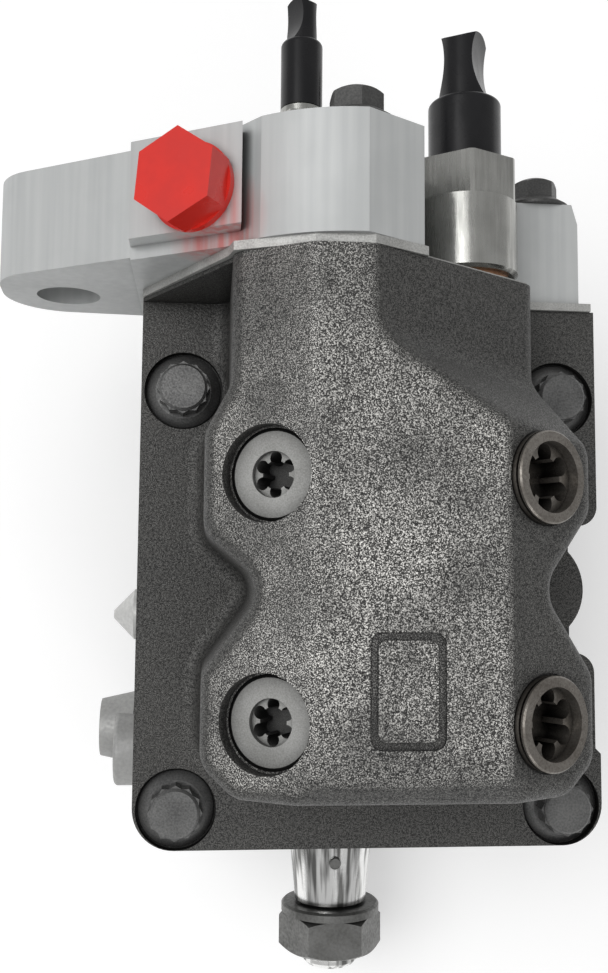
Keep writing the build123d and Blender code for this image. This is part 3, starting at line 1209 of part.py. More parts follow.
# ---------------------------------------------------------------- supply gear pump
half_tooth = 180.0 / GEAR_TEETH
for gear_name, gear_z, bore_r, turn in (
    ("drive_gear", 0.0, GEAR_SHAFT_R, half_tooth),
    ("idler_gear", IDLER_Z, IDLER_PIN_R + RUN, 0.0),
):
    with BuildPart() as gear:
        with BuildSketch(section(GEAR_FRONT_Y)):
            with Locations((0, gear_z)):
                add(spur_gear_outline(turn))
                Circle(bore_r, mode=Mode.SUBTRACT)
        extrude(amount=-GEAR_THICK)
    save(gear, gear_name)

with BuildPart() as idler_pin:
    with BuildSketch(section(GEAR_FRONT_Y)):
        with Locations((0, IDLER_Z)):
            Circle(IDLER_PIN_R)
    extrude(amount=-(GEAR_THICK + IDLER_PIN_DEPTH))
save(idler_pin, "idler_pin")

# ---------------------------------------------------------------- plugs and valves in the leaning ports
plug_bottom = {-1: INLET_PLUG_SUNK + INLET_PLUG_THICK, 1: OUTLET_PLUG_THICK - OUTLET_PLUG_PROUD}
kind = {-1: "inlet", 1: "outlet"}
valve_seat_depth = VALVE_BORE_DEPTH - VALVE_SEAT_THICK
ball_depth = valve_seat_depth - sqrt(VALVE_BALL_R**2 - PASSAGE_R**2) - BALL_SEAT_GAP
for name, y in zip(ELEMENT_NAMES, CYLINDER_Y):
    with BuildPart() as inlet_plug:
        with BuildSketch(port_plane(-1, y, plug_bottom[-1])):
            Circle(PORT_THREAD_R)
        extrude(amount=INLET_PLUG_THICK)
        plug_rim = inlet_plug.edges().filter_by(GeomType.CIRCLE).sort_by(Axis.Z)[-1]
        chamfer(plug_rim, PORT_THREAD_R - INLET_FACE_R)
        with BuildSketch(port_plane(-1, y, INLET_PLUG_SUNK)):
            Circle(INLET_SOCKET_R)
        extrude(amount=-INLET_COUNTERBORE_DEPTH, mode=Mode.SUBTRACT)
        with BuildSketch(port_plane(-1, y, INLET_PLUG_SUNK + INLET_COUNTERBORE_DEPTH)):
            add(lobed_socket(INLET_SOCKET_R))
        extrude(amount=-SOCKET_DEPTH, mode=Mode.SUBTRACT)
    save(inlet_plug, f"inlet_plug_{name}")

    with BuildPart() as outlet_plug:
        with BuildSketch(port_plane(1, y, plug_bottom[1])):
            Circle(PORT_THREAD_R)
        extrude(amount=OUTLET_PLUG_THICK)
        plug_rim = outlet_plug.edges().filter_by(GeomType.CIRCLE).sort_by(Axis.Z)[-1]
        chamfer(plug_rim, PORT_THREAD_R - OUTLET_FACE_R)
        with BuildSketch(port_plane(1, y, PLUG_GROOVE_DEEP[0] - OUTLET_PLUG_PROUD)):
            Circle(PORT_MOUTH_R)
            Circle(PLUG_GROOVE_R, mode=Mode.SUBTRACT)
        extrude(amount=PLUG_GROOVE_DEEP[0] - PLUG_GROOVE_DEEP[1], mode=Mode.SUBTRACT)
        with BuildSketch(port_plane(1, y, -OUTLET_PLUG_PROUD)):
            Circle(OUTLET_COUNTERBORE_R)
        extrude(amount=-OUTLET_COUNTERBORE_DEPTH, mode=Mode.SUBTRACT)
        with BuildSketch(port_plane(1, y, OUTLET_COUNTERBORE_DEPTH - OUTLET_PLUG_PROUD)):
            add(lobed_socket(OUTLET_SOCKET_R))
        extrude(amount=-SOCKET_DEPTH, mode=Mode.SUBTRACT)
    save(outlet_plug, f"outlet_plug_{name}")

    for side in (-1, 1):
        with BuildPart() as valve_seat:
            with BuildSketch(port_plane(side, y, VALVE_BORE_DEPTH)):
                Circle(VALVE_BORE_R)
                Circle(PASSAGE_R, mode=Mode.SUBTRACT)
            extrude(amount=VALVE_SEAT_THICK)
        save(valve_seat, f"{kind[side]}_valve_seat_{name}")

        with BuildPart() as valve_ball:
            with Locations(port_plane(side, y, ball_depth)):
                Sphere(VALVE_BALL_R)
        save(valve_ball, f"{kind[side]}_valve_ball_{name}")

with BuildPart() as valve_springs:
    for y in CYLINDER_Y:
        for side in (-1, 1):
            spring_foot = port_plane(side, y, ball_depth - VALVE_SPRING_DROP)
            length = ball_depth - VALVE_SPRING_DROP - plug_bottom[side]
            add(coil_spring(spring_foot, VALVE_SPRING_R, VALVE_SPRING_WIRE / 2, length, VALVE_SPRING_TURNS))
save(valve_springs, "valve_springs")

# ---------------------------------------------------------------- outlet connector and its cap
outlet_at = (OUTLET_X, OUTLET_Z)
with BuildPart() as outlet_connector:
    with BuildSketch(section(OUTLET_FRONT_Y)):
        with Locations(outlet_at):
            Circle(OUTLET_BODY_R)
    extrude(amount=-(OUTLET_BODY_LENGTH - OUTLET_HEX_LENGTH))
    chamfer(outlet_connector.edges().group_by(Axis.Y)[0], 1.0)
    with BuildSketch(section(OUTLET_REAR_Y)):
        with Locations(outlet_at):
            add(hexagon(OUTLET_FLATS, OUTLET_TURN))
            Circle(OUTLET_BODY_R, mode=Mode.INTERSECT)
    extrude(amount=OUTLET_HEX_LENGTH)
    with BuildSketch(section(OUTLET_FRONT_Y)):
        with Locations(outlet_at):
            Circle(OUTLET_SPIGOT_R)
    extrude(amount=OUTLET_FRONT_Y - REAR_JOINT_Y + OUTLET_SPIGOT_LENGTH)
    with BuildSketch(section(OUTLET_REAR_Y)):
        with Locations(outlet_at):
            Circle(OUTLET_NIPPLE_R)
    extrude(amount=-OUTLET_NIPPLE_LENGTH)
    chamfer(outlet_connector.edges().group_by(Axis.Y)[-1], 1.0)
    with Locations(Plane(origin=(OUTLET_X, OUTLET_REAR_Y + OUTLET_NIPPLE_LENGTH, OUTLET_Z), z_dir=(0, 1, 0))):
        CounterSinkHole(OUTLET_BORE_R, OUTLET_CONE_R)
save(outlet_connector, "outlet_connector")

with BuildPart() as outlet_seal_washer:
    with BuildSketch(section(PORT_PLATE_REAR_Y)):
        with Locations(outlet_at):
            Circle(SEAL_WASHER_R)
            Circle(OUTLET_SPIGOT_R, mode=Mode.SUBTRACT)
    extrude(amount=-SEAL_WASHER_THICK)
save(outlet_seal_washer, "outlet_seal_washer")


def pinched_cap(x, z, mouth_y, bore_r, neck_r, body_length, total_length, nipple_length, facing):
    """Soft push-on cap along +Y whose neck is pinched flat; facing is the flat side's direction."""
    turn = radians(facing)
    flat_dir = Vector(cos(turn), 0, sin(turn))
    across_dir = Vector(sin(turn), 0, -cos(turn))
    neck_length = total_length - body_length
    waist = CAP_WAIST * neck_r
    waist_y = total_length - CAP_WAIST_DROP * neck_length
    pinch_depth = neck_r - waist
    pinch_r = ((waist_y - body_length) ** 2 + pinch_depth**2) / (2 * pinch_depth)
    with BuildPart() as neck:
        with BuildSketch(Plane(origin=(x, mouth_y, z), x_dir=across_dir, z_dir=flat_dir)):
            corner_y = total_length - CAP_ARCH * neck_r
            with BuildLine():
                Line((neck_r, corner_y), (neck_r, body_length - 1.0))
                Line((neck_r, body_length - 1.0), (-neck_r, body_length - 1.0))
                Line((-neck_r, body_length - 1.0), (-neck_r, corner_y))
                ThreePointArc((-neck_r, corner_y), (0, total_length), (neck_r, corner_y))
            make_face()
        extrude(amount=neck_r, both=True)
        with BuildSketch(section(mouth_y + body_length - 1.0)):
            with Locations((x, z)):
                Circle(neck_r)
        extrude(amount=-(neck_length + 1.0), mode=Mode.INTERSECT)
        with BuildSketch(Plane(origin=(x, mouth_y, z), x_dir=flat_dir, z_dir=-across_dir)):
            for side in (-1, 1):
                with Locations((side * (waist + pinch_r), waist_y)):
                    Circle(pinch_r)
        extrude(amount=neck_r + 1.0, both=True, mode=Mode.SUBTRACT)
    with BuildPart() as cap:
        with BuildSketch(section(mouth_y)):
            with Locations((x, z)):
                Circle(bore_r + CAP_WALL)
        extrude(amount=-body_length)
        fillet(cap.edges().group_by(Axis.Y)[-1], CAP_SHOULDER_R)
        add(neck)
        with BuildSketch(section(mouth_y)):
            with Locations((x, z)):
                Circle(bore_r)
        extrude(amount=-(nipple_length + GAP), mode=Mode.SUBTRACT)
    return cap


outlet_cap = pinched_cap(
    OUTLET_X,
    OUTLET_Z,
    OUTLET_REAR_Y + GAP,
    OUTLET_NIPPLE_R + CAP_GRIP,
    OUTLET_CAP_NECK_R,
    OUTLET_CAP_LENGTH,
    OUTLET_CAP_TOTAL,
    OUTLET_NIPPLE_LENGTH,
    OUTLET_CAP_FACING,
)
save(outlet_cap, "outlet_cap")

# ---------------------------------------------------------------- return connector and its cap
return_at = (RETURN_X, RETURN_Z)
return_collar_y = REAR_FACE_Y + RETURN_HEX_LENGTH
return_mouth_y = return_collar_y + RETURN_COLLAR_LENGTH
with BuildPart() as return_connector:
    with BuildSketch(section(REAR_FACE_Y)):
        with Locations(return_at):
            Circle(RETURN_THREAD_R)
    extrude(amount=RETURN_THREAD_LENGTH)
    with BuildSketch(section(REAR_FACE_Y)):
        with Locations(return_at):
            add(hexagon(RETURN_FLATS))
    extrude(amount=-RETURN_HEX_LENGTH)
    with BuildSketch(section(return_collar_y)):
        with Locations(return_at):
            Circle(RETURN_COLLAR_R)
    extrude(amount=-RETURN_COLLAR_LENGTH)
    with BuildSketch(section(return_mouth_y)):
        with Locations(return_at):
            Circle(RETURN_NIPPLE_R)
    extrude(amount=-RETURN_NIPPLE_LENGTH)
    chamfer(return_connector.edges().group_by(Axis.Y)[-1], 0.6)
    with Locations(Plane(origin=(RETURN_X, return_mouth_y + RETURN_NIPPLE_LENGTH, RETURN_Z), z_dir=(0, 1, 0))):
        Hole(RETURN_BORE_R)
save(return_connector, "return_connector")

return_cap = pinched_cap(
    RETURN_X,
    RETURN_Z,
    return_mouth_y + GAP,
    RETURN_NIPPLE_R + CAP_GRIP,
    RETURN_CAP_NECK_R,
    RETURN_CAP_LENGTH,
    RETURN_CAP_TOTAL,
    RETURN_NIPPLE_LENGTH,
    RETURN_CAP_FACING,
)
save(return_cap, "return_cap")

# ---------------------------------------------------------------- threaded port cap on the pad
with BuildPart() as port_cap:
    with BuildSketch(pad_plane()):
        Circle(PORT_CAP_FLANGE_R)
    extrude(amount=PORT_CAP_FLANGE_THICK)
    with BuildSketch(pad_plane(PORT_CAP_FLANGE_THICK)):
        add(hexagon(PORT_CAP_FLATS, PORT_CAP_TURN))
    extrude(amount=PORT_CAP_HEX)
    with BuildSketch(pad_plane()):
        Circle(PORT_CAP_STEM_R - CAP_GRIP)
    extrude(amount=-PORT_CAP_STEM)
    with BuildSketch(pad_plane(-PORT_CAP_STEM)):
        Circle(PORT_CAP_STEM_R - CAP_GRIP - CAP_WALL)
    extrude(amount=PORT_CAP_STEM + PORT_CAP_FLANGE_THICK, mode=Mode.SUBTRACT)
save(port_cap, "port_cap")

# ---------------------------------------------------------------- overflow valve on the left wall
side_wall_x = -HOUSING_HALF_WIDTH - SIDE_PAD_PROUD
relief_at = (RELIEF_Y, RELIEF_Z)
relief_cone_x = side_wall_x - RELIEF_HEX_LENGTH - RELIEF_BARREL_LENGTH
with BuildPart() as overflow_valve_body:
    with BuildSketch(Plane.YZ.offset(side_wall_x)):
        with Locations(relief_at):
            Circle(RELIEF_SPIGOT_R)
    extrude(amount=SIDE_SPIGOT_LENGTH)
    with BuildSketch(Plane.YZ.offset(side_wall_x)):
        with Locations(relief_at):
            add(hexagon(RELIEF_FLATS))
    extrude(amount=-RELIEF_HEX_LENGTH)
    with BuildSketch(Plane.YZ.offset(side_wall_x - RELIEF_HEX_LENGTH)):
        with Locations(relief_at):
            Circle(RELIEF_BARREL_R)
    extrude(amount=-RELIEF_BARREL_LENGTH)
    with BuildSketch(Plane.YZ.offset(relief_cone_x)):
        with Locations(relief_at):
            Circle(RELIEF_BARREL_R)
    with BuildSketch(Plane.YZ.offset(relief_cone_x - RELIEF_CONE_LENGTH)):
        with Locations(relief_at):
            Circle(RELIEF_TIP_R)
    loft()
    with BuildSketch(Plane.YZ.offset(side_wall_x + SIDE_SPIGOT_LENGTH)):
        with Locations(relief_at):
            Circle(RELIEF_PISTON_R + RUN)
    extrude(amount=-(SIDE_SPIGOT_LENGTH + RELIEF_HEX_LENGTH + RELIEF_BARREL_LENGTH), mode=Mode.SUBTRACT)
save(overflow_valve_body, "overflow_valve_body")

relief_piston_x = side_wall_x + SIDE_SPIGOT_LENGTH - 1.0
with BuildPart() as overflow_piston:
    with BuildSketch(Plane.YZ.offset(relief_piston_x)):
        with Locations(relief_at):
            Circle(RELIEF_PISTON_R)
    extrude(amount=-RELIEF_PISTON_LENGTH)
save(overflow_piston, "overflow_piston")

relief_spring_x = relief_piston_x - RELIEF_PISTON_LENGTH - RELIEF_TRAVEL - GAP
relief_spring_plane = Plane(origin=(relief_spring_x, RELIEF_Y, RELIEF_Z), z_dir=(-1, 0, 0))
relief_spring_room = relief_spring_x - relief_cone_x
with BuildPart() as overflow_spring:
    add(coil_spring(relief_spring_plane, RELIEF_SPRING_R, RELIEF_SPRING_WIRE_R, relief_spring_room, RELIEF_SPRING_TURNS))
save(overflow_spring, "overflow_spring")

# ---------------------------------------------------------------- inlet metering valve on the left wall
metering_at = (METERING_Y, METERING_Z)
metering_block_x = side_wall_x - METERING_FLANGE_THICK
coil_end_x = metering_block_x - METERING_COIL_LENGTH
socket_end_x = coil_end_x - METERING_SOCKET_LENGTH
with BuildPart() as metering_valve_body:
    with BuildSketch(Plane.YZ.offset(side_wall_x)):
        with Locations(metering_at):
            Circle(METERING_SPIGOT_R)
    extrude(amount=SIDE_SPIGOT_LENGTH)
    with BuildSketch(Plane.YZ.offset(side_wall_x)):
        with Locations(metering_at):
            RectangleRounded(METERING_FLANGE_WIDTH, METERING_FLANGE_HEIGHT, METERING_FLANGE_CORNER)
        with Locations(*screw_places):
            Circle(SCREW_R + SCREW_CLEAR, mode=Mode.SUBTRACT)
    extrude(amount=-METERING_FLANGE_THICK)
    with BuildSketch(Plane.YZ.offset(metering_block_x)):
        with Locations(metering_at):
            Circle(METERING_COIL_R)
    extrude(amount=-METERING_COIL_LENGTH)
    fillet(metering_valve_body.edges().group_by(Axis.X)[0], METERING_COIL_EDGE)
    with BuildSketch(Plane.YZ.offset(coil_end_x + METERING_SOCKET_SUNK)):
        with Locations(METERING_SOCKET_AT):
            Circle(METERING_SOCKET_ROOT_R)
    with BuildSketch(Plane.YZ.offset(socket_end_x)):
        with Locations(METERING_SOCKET_AT):
            Circle(METERING_SOCKET_R)
    loft()
    with BuildSketch(Plane.YZ.offset(socket_end_x)):
        with Locations(METERING_SOCKET_AT):
            Circle(METERING_SOCKET_R - CAP_WALL)
    extrude(amount=METERING_SOCKET_LENGTH, mode=Mode.SUBTRACT)
save(metering_valve_body, "metering_valve_body")

with BuildPart() as metering_screws:
    with BuildSketch(Plane.YZ.offset(metering_block_x)):
        with Locations(*screw_places):
            Circle(SCREW_HEAD_R)
    extrude(amount=-SCREW_HEAD_HEIGHT)
    chamfer(metering_screws.edges().group_by(Axis.X)[0], 0.4)
    with BuildSketch(Plane.YZ.offset(metering_block_x - SCREW_HEAD_HEIGHT)):
        with Locations(*screw_places):
            RegularPolygon(SCREW_SOCKET_R, 6)
    extrude(amount=SCREW_SOCKET_DEPTH, mode=Mode.SUBTRACT)
    with BuildSketch(Plane.YZ.offset(metering_block_x)):
        with Locations(*screw_places):
            Circle(SCREW_R)
    extrude(amount=METERING_FLANGE_THICK + SCREW_DEPTH)
save(metering_screws, "metering_screws")

with BuildPart() as metering_contacts:
    with BuildSketch(Plane.YZ.offset(coil_end_x)):
        for shift in (-CONTACT_SPACING, CONTACT_SPACING):
            with Locations((METERING_SOCKET_AT[0] + shift, METERING_SOCKET_AT[1])):
                Rectangle(CONTACT_WIDTH, CONTACT_THICK)
    extrude(amount=-CONTACT_LENGTH)
save(metering_contacts, "metering_contacts")
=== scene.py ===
"""Looks for the diesel injection pump: materials, floor, light and camera."""

import json

import bpy
from mathutils import Matrix, Vector


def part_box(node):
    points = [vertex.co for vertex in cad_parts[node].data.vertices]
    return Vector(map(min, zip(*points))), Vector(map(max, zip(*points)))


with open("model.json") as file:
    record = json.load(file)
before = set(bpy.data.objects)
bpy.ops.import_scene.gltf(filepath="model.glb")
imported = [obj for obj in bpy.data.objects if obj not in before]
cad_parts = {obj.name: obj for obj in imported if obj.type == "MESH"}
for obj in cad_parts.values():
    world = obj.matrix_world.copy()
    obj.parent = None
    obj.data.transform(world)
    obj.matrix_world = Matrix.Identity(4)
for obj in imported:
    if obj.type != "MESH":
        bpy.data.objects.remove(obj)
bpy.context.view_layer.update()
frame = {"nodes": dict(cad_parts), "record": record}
nodes = frame["nodes"]
MM = 0.001

# ---------------------------------------------------------------- camera, at the photograph's angle
CAMERA_AT = Vector((-49.43, 81.53, 415.27)) * MM
CAMERA_TURNS = ((0.094, "X"), (-0.091, "Y"), (0.017, "Z"))
FOCAL_PX = 1050.0
IMAGE_HEIGHT_PX = 973.0
SENSOR_MM = 36.0

camera_data = bpy.data.cameras.new("camera")
camera_data.sensor_width = SENSOR_MM
camera_data.lens = FOCAL_PX / IMAGE_HEIGHT_PX * SENSOR_MM
camera_data.clip_start = 0.02
camera_data.clip_end = 20.0
camera = bpy.data.objects.new("camera", camera_data)
turn = Matrix.Identity(3)
for angle, axis in CAMERA_TURNS:
    turn = turn @ Matrix.Rotation(angle, 3, axis)
camera.matrix_world = Matrix.Translation(CAMERA_AT) @ turn.to_4x4()
bpy.context.scene.collection.objects.link(camera)
bpy.context.scene.camera = camera


# ---------------------------------------------------------------- material helpers
class Shader:
    """One Principled material and the nodes that feed it."""

    def __init__(self, name, color, metallic=0.0, roughness=0.5, **sockets):
        self.material = bpy.data.materials.new(name)
        self.material.use_nodes = True
        self.tree = self.material.node_tree
        self.shader = self.tree.nodes["Principled BSDF"]
        self.shader.inputs["Base Color"].default_value = (*color, 1.0)
        self.shader.inputs["Metallic"].default_value = metallic
        self.shader.inputs["Roughness"].default_value = roughness
        for socket, value in sockets.items():
            self.shader.inputs[socket.replace("_", " ")].default_value = value
        self.place = self.tree.nodes.new("ShaderNodeTexCoord").outputs["Object"]

    def node(self, kind, **settings):
        made = self.tree.nodes.new(kind)
        for key, value in settings.items():
            setattr(made, key, value)
        return made

    def link(self, source, target):
        self.tree.links.new(source, target)

    def stretched(self, scale):
        mapping = self.node("ShaderNodeMapping")
        mapping.inputs["Scale"].default_value = scale
        self.link(self.place, mapping.inputs["Vector"])
        return mapping.outputs["Vector"]

    def noise(self, scale, detail=2.0, roughness=0.5, stretch=(1, 1, 1)):
        """Noise whose features are about 1 / scale metres wide."""
        made = self.node("ShaderNodeTexNoise")
        made.inputs["Scale"].default_value = scale
        made.inputs["Detail"].default_value = detail
        made.inputs["Roughness"].default_value = roughness
        self.link(self.stretched(stretch), made.inputs["Vector"])
        return made.outputs["Fac"]

    def ramp(self, source, stops):
        """Colour or grey ramp; stops are (position, grey or colour)."""
        made = self.node("ShaderNodeValToRGB")
        elements = made.color_ramp.elements
        while len(elements) < len(stops):
            elements.new(0.5)
        for element, (position, value) in zip(elements, stops):
            element.position = position
            rgb = (value,) * 3 if isinstance(value, (int, float)) else value
            element.color = (*rgb, 1.0)
        self.link(source, made.inputs["Fac"])
        return made.outputs["Color"]

    def math(self, operation, first, second):
        made = self.node("ShaderNodeMath", operation=operation)
        for socket, value in zip(made.inputs, (first, second)):
            if isinstance(value, (int, float)):
                socket.default_value = value
            else:
                self.link(value, socket)
        return made.outputs["Value"]

    def mix(self, factor, first, second):
        made = self.node("ShaderNodeMix", data_type="RGBA")
        for name, value in (("Factor", factor), ("A", first), ("B", second)):
            socket = next(s for s in made.inputs if s.name == name and s.enabled)
            if isinstance(value, tuple):
                socket.default_value = (*value, 1.0)
            elif isinstance(value, (int, float)):
                socket.default_value = value
            else:
                self.link(value, socket)
        return next(s for s in made.outputs if s.enabled)

    def facing(self, direction):
        """How squarely the surface faces a direction, 1 when it faces it fully."""
        geometry = self.node("ShaderNodeNewGeometry")
        dot = self.node("ShaderNodeVectorMath", operation="DOT_PRODUCT")
        self.link(geometry.outputs["True Normal"], dot.inputs[0])
        dot.inputs[1].default_value = direction
        return dot.outputs["Value"]

    def along(self, axis):
        split = self.node("ShaderNodeSeparateXYZ")
        self.link(self.place, split.inputs["Vector"])
        return split.outputs[axis]

    def between(self, source, start, end):
        """0 at start and 1 at end, held outside them."""
        made = self.node("ShaderNodeMapRange")
        made.inputs["From Min"].default_value = start
        made.inputs["From Max"].default_value = end
        self.link(source, made.inputs["Value"])
        return made.outputs["Result"]

    def painted_recess_shade(self, tone, reach, darkest):
        """Painted shade: tone that darkens in corners and recesses nearer than reach."""
        made = self.node("ShaderNodeAmbientOcclusion", samples=8)
        made.inputs["Distance"].default_value = reach
        shade = self.ramp(made.outputs["AO"], ((0.25, darkest), (0.85, 1.0)))
        mixed = self.node("ShaderNodeMix", data_type="RGBA", blend_type="MULTIPLY")
        sockets = {socket.name: socket for socket in mixed.inputs if socket.enabled}
        sockets["Factor"].default_value = 1.0
        self.link(tone, sockets["A"])
        self.link(shade, sockets["B"])
        return next(socket for socket in mixed.outputs if socket.enabled)

    def color(self, source):
        self.link(source, self.shader.inputs["Base Color"])

    def rough(self, source):
        self.link(source, self.shader.inputs["Roughness"])

    def bump(self, height, distance, strength=1.0):
        made = self.node("ShaderNodeBump")
        made.inputs["Distance"].default_value = distance
        if isinstance(strength, (int, float)):
            made.inputs["Strength"].default_value = strength
        else:
            self.link(strength, made.inputs["Strength"])
        self.link(height, made.inputs["Height"])
        self.link(made.outputs["Normal"], self.shader.inputs["Normal"])


GRAIN_PER_M = 3300.0
LUMP_PER_M = 1300.0
BLOTCH_PER_M = 38.0
PIT_DARK = (0.008, 0.008, 0.008)
SKIN = (0.092, 0.091, 0.087)
BLOTCH_TONE = (0.035, 0.034, 0.031)
GLINT_TONE = (0.86, 0.845, 0.805)
GROOVE_SHADE_TONE = (0.018, 0.018, 0.017)
IRON_SHADE_REACH = 6.0 * MM
IRON_SHADE_DARKEST = 0.10
IRON_RELIEF = 0.36 * MM
LIT_SIDE = Vector((-0.15, 0.0, 0.99)).normalized()  # faces turned this way carry the painted highlight glints
CROWN_FROM_Z = 115.0 * MM  # painted highlight glints grow from here
CROWN_TO_Z = 150.0 * MM  # up to here
GLINT_FADE_FROM_Y = 95.0 * MM  # painted highlight glints fade from here
GLINT_FADE_TO_Y = 165.0 * MM  # to the rear of the head
PAD_MIDDLE = Vector((-1.0, 56.5, 165.0)) * MM  # blank framed pad on the crown
PAD_HALF = Vector((9.6, 14.4, 0.0)) * MM
GROOVE_BOTTOM = 0.8 * MM  # groove floor, under the crown's face


def cast_iron(name):
    """Sand-cast grey iron: painted highlight glints make the grains bright on top, walls are darker
    and smoother, and painted shade darkens corners.
    """
    s = Shader(name, (0.10, 0.10, 0.10), metallic=0.35, roughness=0.5)
    facing = s.facing(LIT_SIDE)
    crown = s.between(s.along("Z"), CROWN_FROM_Z, CROWN_TO_Z)
    glint_fade = s.between(s.along("Y"), GLINT_FADE_FROM_Y, GLINT_FADE_TO_Y)
    # painted highlight: glints only on faces turned to the lit side, fewer towards the rear
    lit_faces = s.ramp(facing, ((0.80, 0.10), (0.93, 0.72), (0.985, 1.0)))
    lit_faces = s.math("MULTIPLY", lit_faces, s.ramp(glint_fade, ((0.0, 1.0), (1.0, 0.5))))
    grains = s.noise(GRAIN_PER_M, detail=3.0, roughness=0.6)
    lumps = s.noise(LUMP_PER_M, detail=3.0)
    blotches = s.noise(BLOTCH_PER_M, detail=4.0)
    pits = s.math("ADD", s.math("MULTIPLY", grains, 0.6), s.math("MULTIPLY", lumps, 0.4))
    skin = s.mix(s.ramp(pits, ((0.43, 0.0), (0.57, 1.0))), PIT_DARK, SKIN)
    skin = s.mix(s.ramp(blotches, ((0.3, 0.0), (0.75, 0.5))), skin, BLOTCH_TONE)
    # painted highlight glints from the grains, strongest high on the crown
    glint = s.ramp(grains, ((0.50, 0.0), (0.61, 1.0)))
    glint = s.math("MULTIPLY", glint, s.ramp(blotches, ((0.36, 0.35), (0.62, 1.0))))
    glint = s.math("MULTIPLY", glint, lit_faces)
    amount = s.math("MULTIPLY", glint, s.ramp(crown, ((0.0, 0.07), (1.0, 1.0))))
    tone = s.mix(amount, skin, GLINT_TONE)
    # painted shade in the groove around the crown's pad
    groove_shade = s.between(s.along("Z"), PAD_MIDDLE.z - GROOVE_BOTTOM / 2, PAD_MIDDLE.z - GROOVE_BOTTOM)
    for axis, middle, half in (("X", PAD_MIDDLE.x, PAD_HALF.x), ("Y", PAD_MIDDLE.y, PAD_HALF.y)):
        away = s.math("ABSOLUTE", s.math("SUBTRACT", s.along(axis), middle), 0.0)
        groove_shade = s.math("MULTIPLY", groove_shade, s.math("LESS_THAN", away, half))
    tone = s.mix(s.math("MULTIPLY", groove_shade, 0.6), tone, GROOVE_SHADE_TONE)
    # painted shade darkens corners and recesses
    s.color(s.painted_recess_shade(tone, IRON_SHADE_REACH, IRON_SHADE_DARKEST))
    s.rough(s.ramp(grains, ((0.45, 0.62), (0.7, 0.34))))
    relief = s.math("ADD", s.math("MULTIPLY", grains, 0.35), s.math("MULTIPLY", lumps, 0.9))
    s.bump(relief, IRON_RELIEF, s.ramp(lit_faces, ((0.0, 0.15), (1.0, 1.0))))
    return s.material


LINE_PER_M = 2400.0
WAVE_PER_M = 380.0
STAIN_PER_M = 45.0
DRAWN = (1.0, 0.03, 1.0)  # marks are drawn out along Y
RED_REFLECTION_REACH = 16.0 * MM
RED_REFLECTION_OFFSET = Vector((9.0, -9.0, -5.0)) * MM  # the painted red reflection lies in front of the cap and to its right
RED_REFLECTION_TONE = (0.50, 0.10, 0.09)
MILLED_DARK = (0.405, 0.415, 0.415)
MILLED_LIGHT = (0.462, 0.472, 0.468)
STAIN_TONE = (0.34, 0.35, 0.35)


def machined_aluminium(name):
    """Milled aluminium: fine drawn lines, faint stains, a painted red reflection around the port
    cap, and painted shade in recesses.
    """
    s = Shader(name, (0.50, 0.50, 0.50), metallic=0.2, roughness=0.48)
    lines = s.noise(LINE_PER_M, detail=2.0, stretch=DRAWN)
    waves = s.noise(WAVE_PER_M, detail=2.0, stretch=DRAWN)
    stains = s.noise(STAIN_PER_M, detail=4.0)
    tone = s.mix(s.ramp(waves, ((0.3, 0.0), (0.7, 1.0))), MILLED_DARK, MILLED_LIGHT)
    tone = s.mix(s.ramp(stains, ((0.52, 0.0), (0.75, 0.35))), tone, STAIN_TONE)
    # painted red reflection of the port cap on the aluminium
    cap_low, cap_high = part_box("port_cap")
    far = s.node("ShaderNodeVectorMath", operation="DISTANCE")
    s.link(s.place, far.inputs[0])
    far.inputs[1].default_value = (cap_low + cap_high) / 2 + RED_REFLECTION_OFFSET
    near = s.between(far.outputs["Value"], RED_REFLECTION_REACH, RED_REFLECTION_REACH / 2)
    red_reflection = s.math("MULTIPLY", near, s.ramp(waves, ((0.35, 0.15), (0.60, 0.75))))
    tone = s.mix(red_reflection, tone, RED_REFLECTION_TONE)
    # painted shade darkens recesses
    s.color(s.painted_recess_shade(tone, 3.0 * MM, 0.45))
    s.rough(s.ramp(stains, ((0.3, 0.42), (0.75, 0.55))))
    s.bump(s.math("ADD", lines, waves), 0.02 * MM, 0.6)
    return s.material


BROAD_PER_M = 90.0  # broad changes of tone over all the steels


def steel(
    name,
    light,
    dark,
    roughness=0.35,
    grain=900.0,
    stretch=(1, 1, 1),
    depth=0.03,
    metallic=1.0,
    recess_shade=0.5,
    reach=3.0 * MM,
):
    """Turned, ground or plated steel: fine marks vary tone and gloss, and painted shade darkens
    recesses.
    """
    s = Shader(name, light, metallic=metallic, roughness=roughness)
    fine = s.noise(grain, detail=3.0, stretch=stretch)
    broad = s.noise(BROAD_PER_M, detail=3.0)
    marks = s.math("ADD", s.math("MULTIPLY", fine, 0.5), s.math("MULTIPLY", broad, 0.5))
    # painted shade darkens recesses
    s.color(s.painted_recess_shade(s.mix(s.ramp(marks, ((0.36, 0.0), (0.64, 1.0))), dark, light), reach, recess_shade))
    s.rough(s.ramp(fine, ((0.3, roughness + 0.1), (0.7, roughness - 0.08))))
    s.bump(fine, depth * MM, 0.7)
    return s.material


REFLECTION_BAND_PER_M = 330.0
SCRATCH_PER_M = 1500.0
ALONG_SHAFT = (1.0, 0.02, 1.0)
ROUND_SHAFT = (0.05, 1.0, 0.05)
SHAFT_END_TONE = (0.42, 0.42, 0.415)


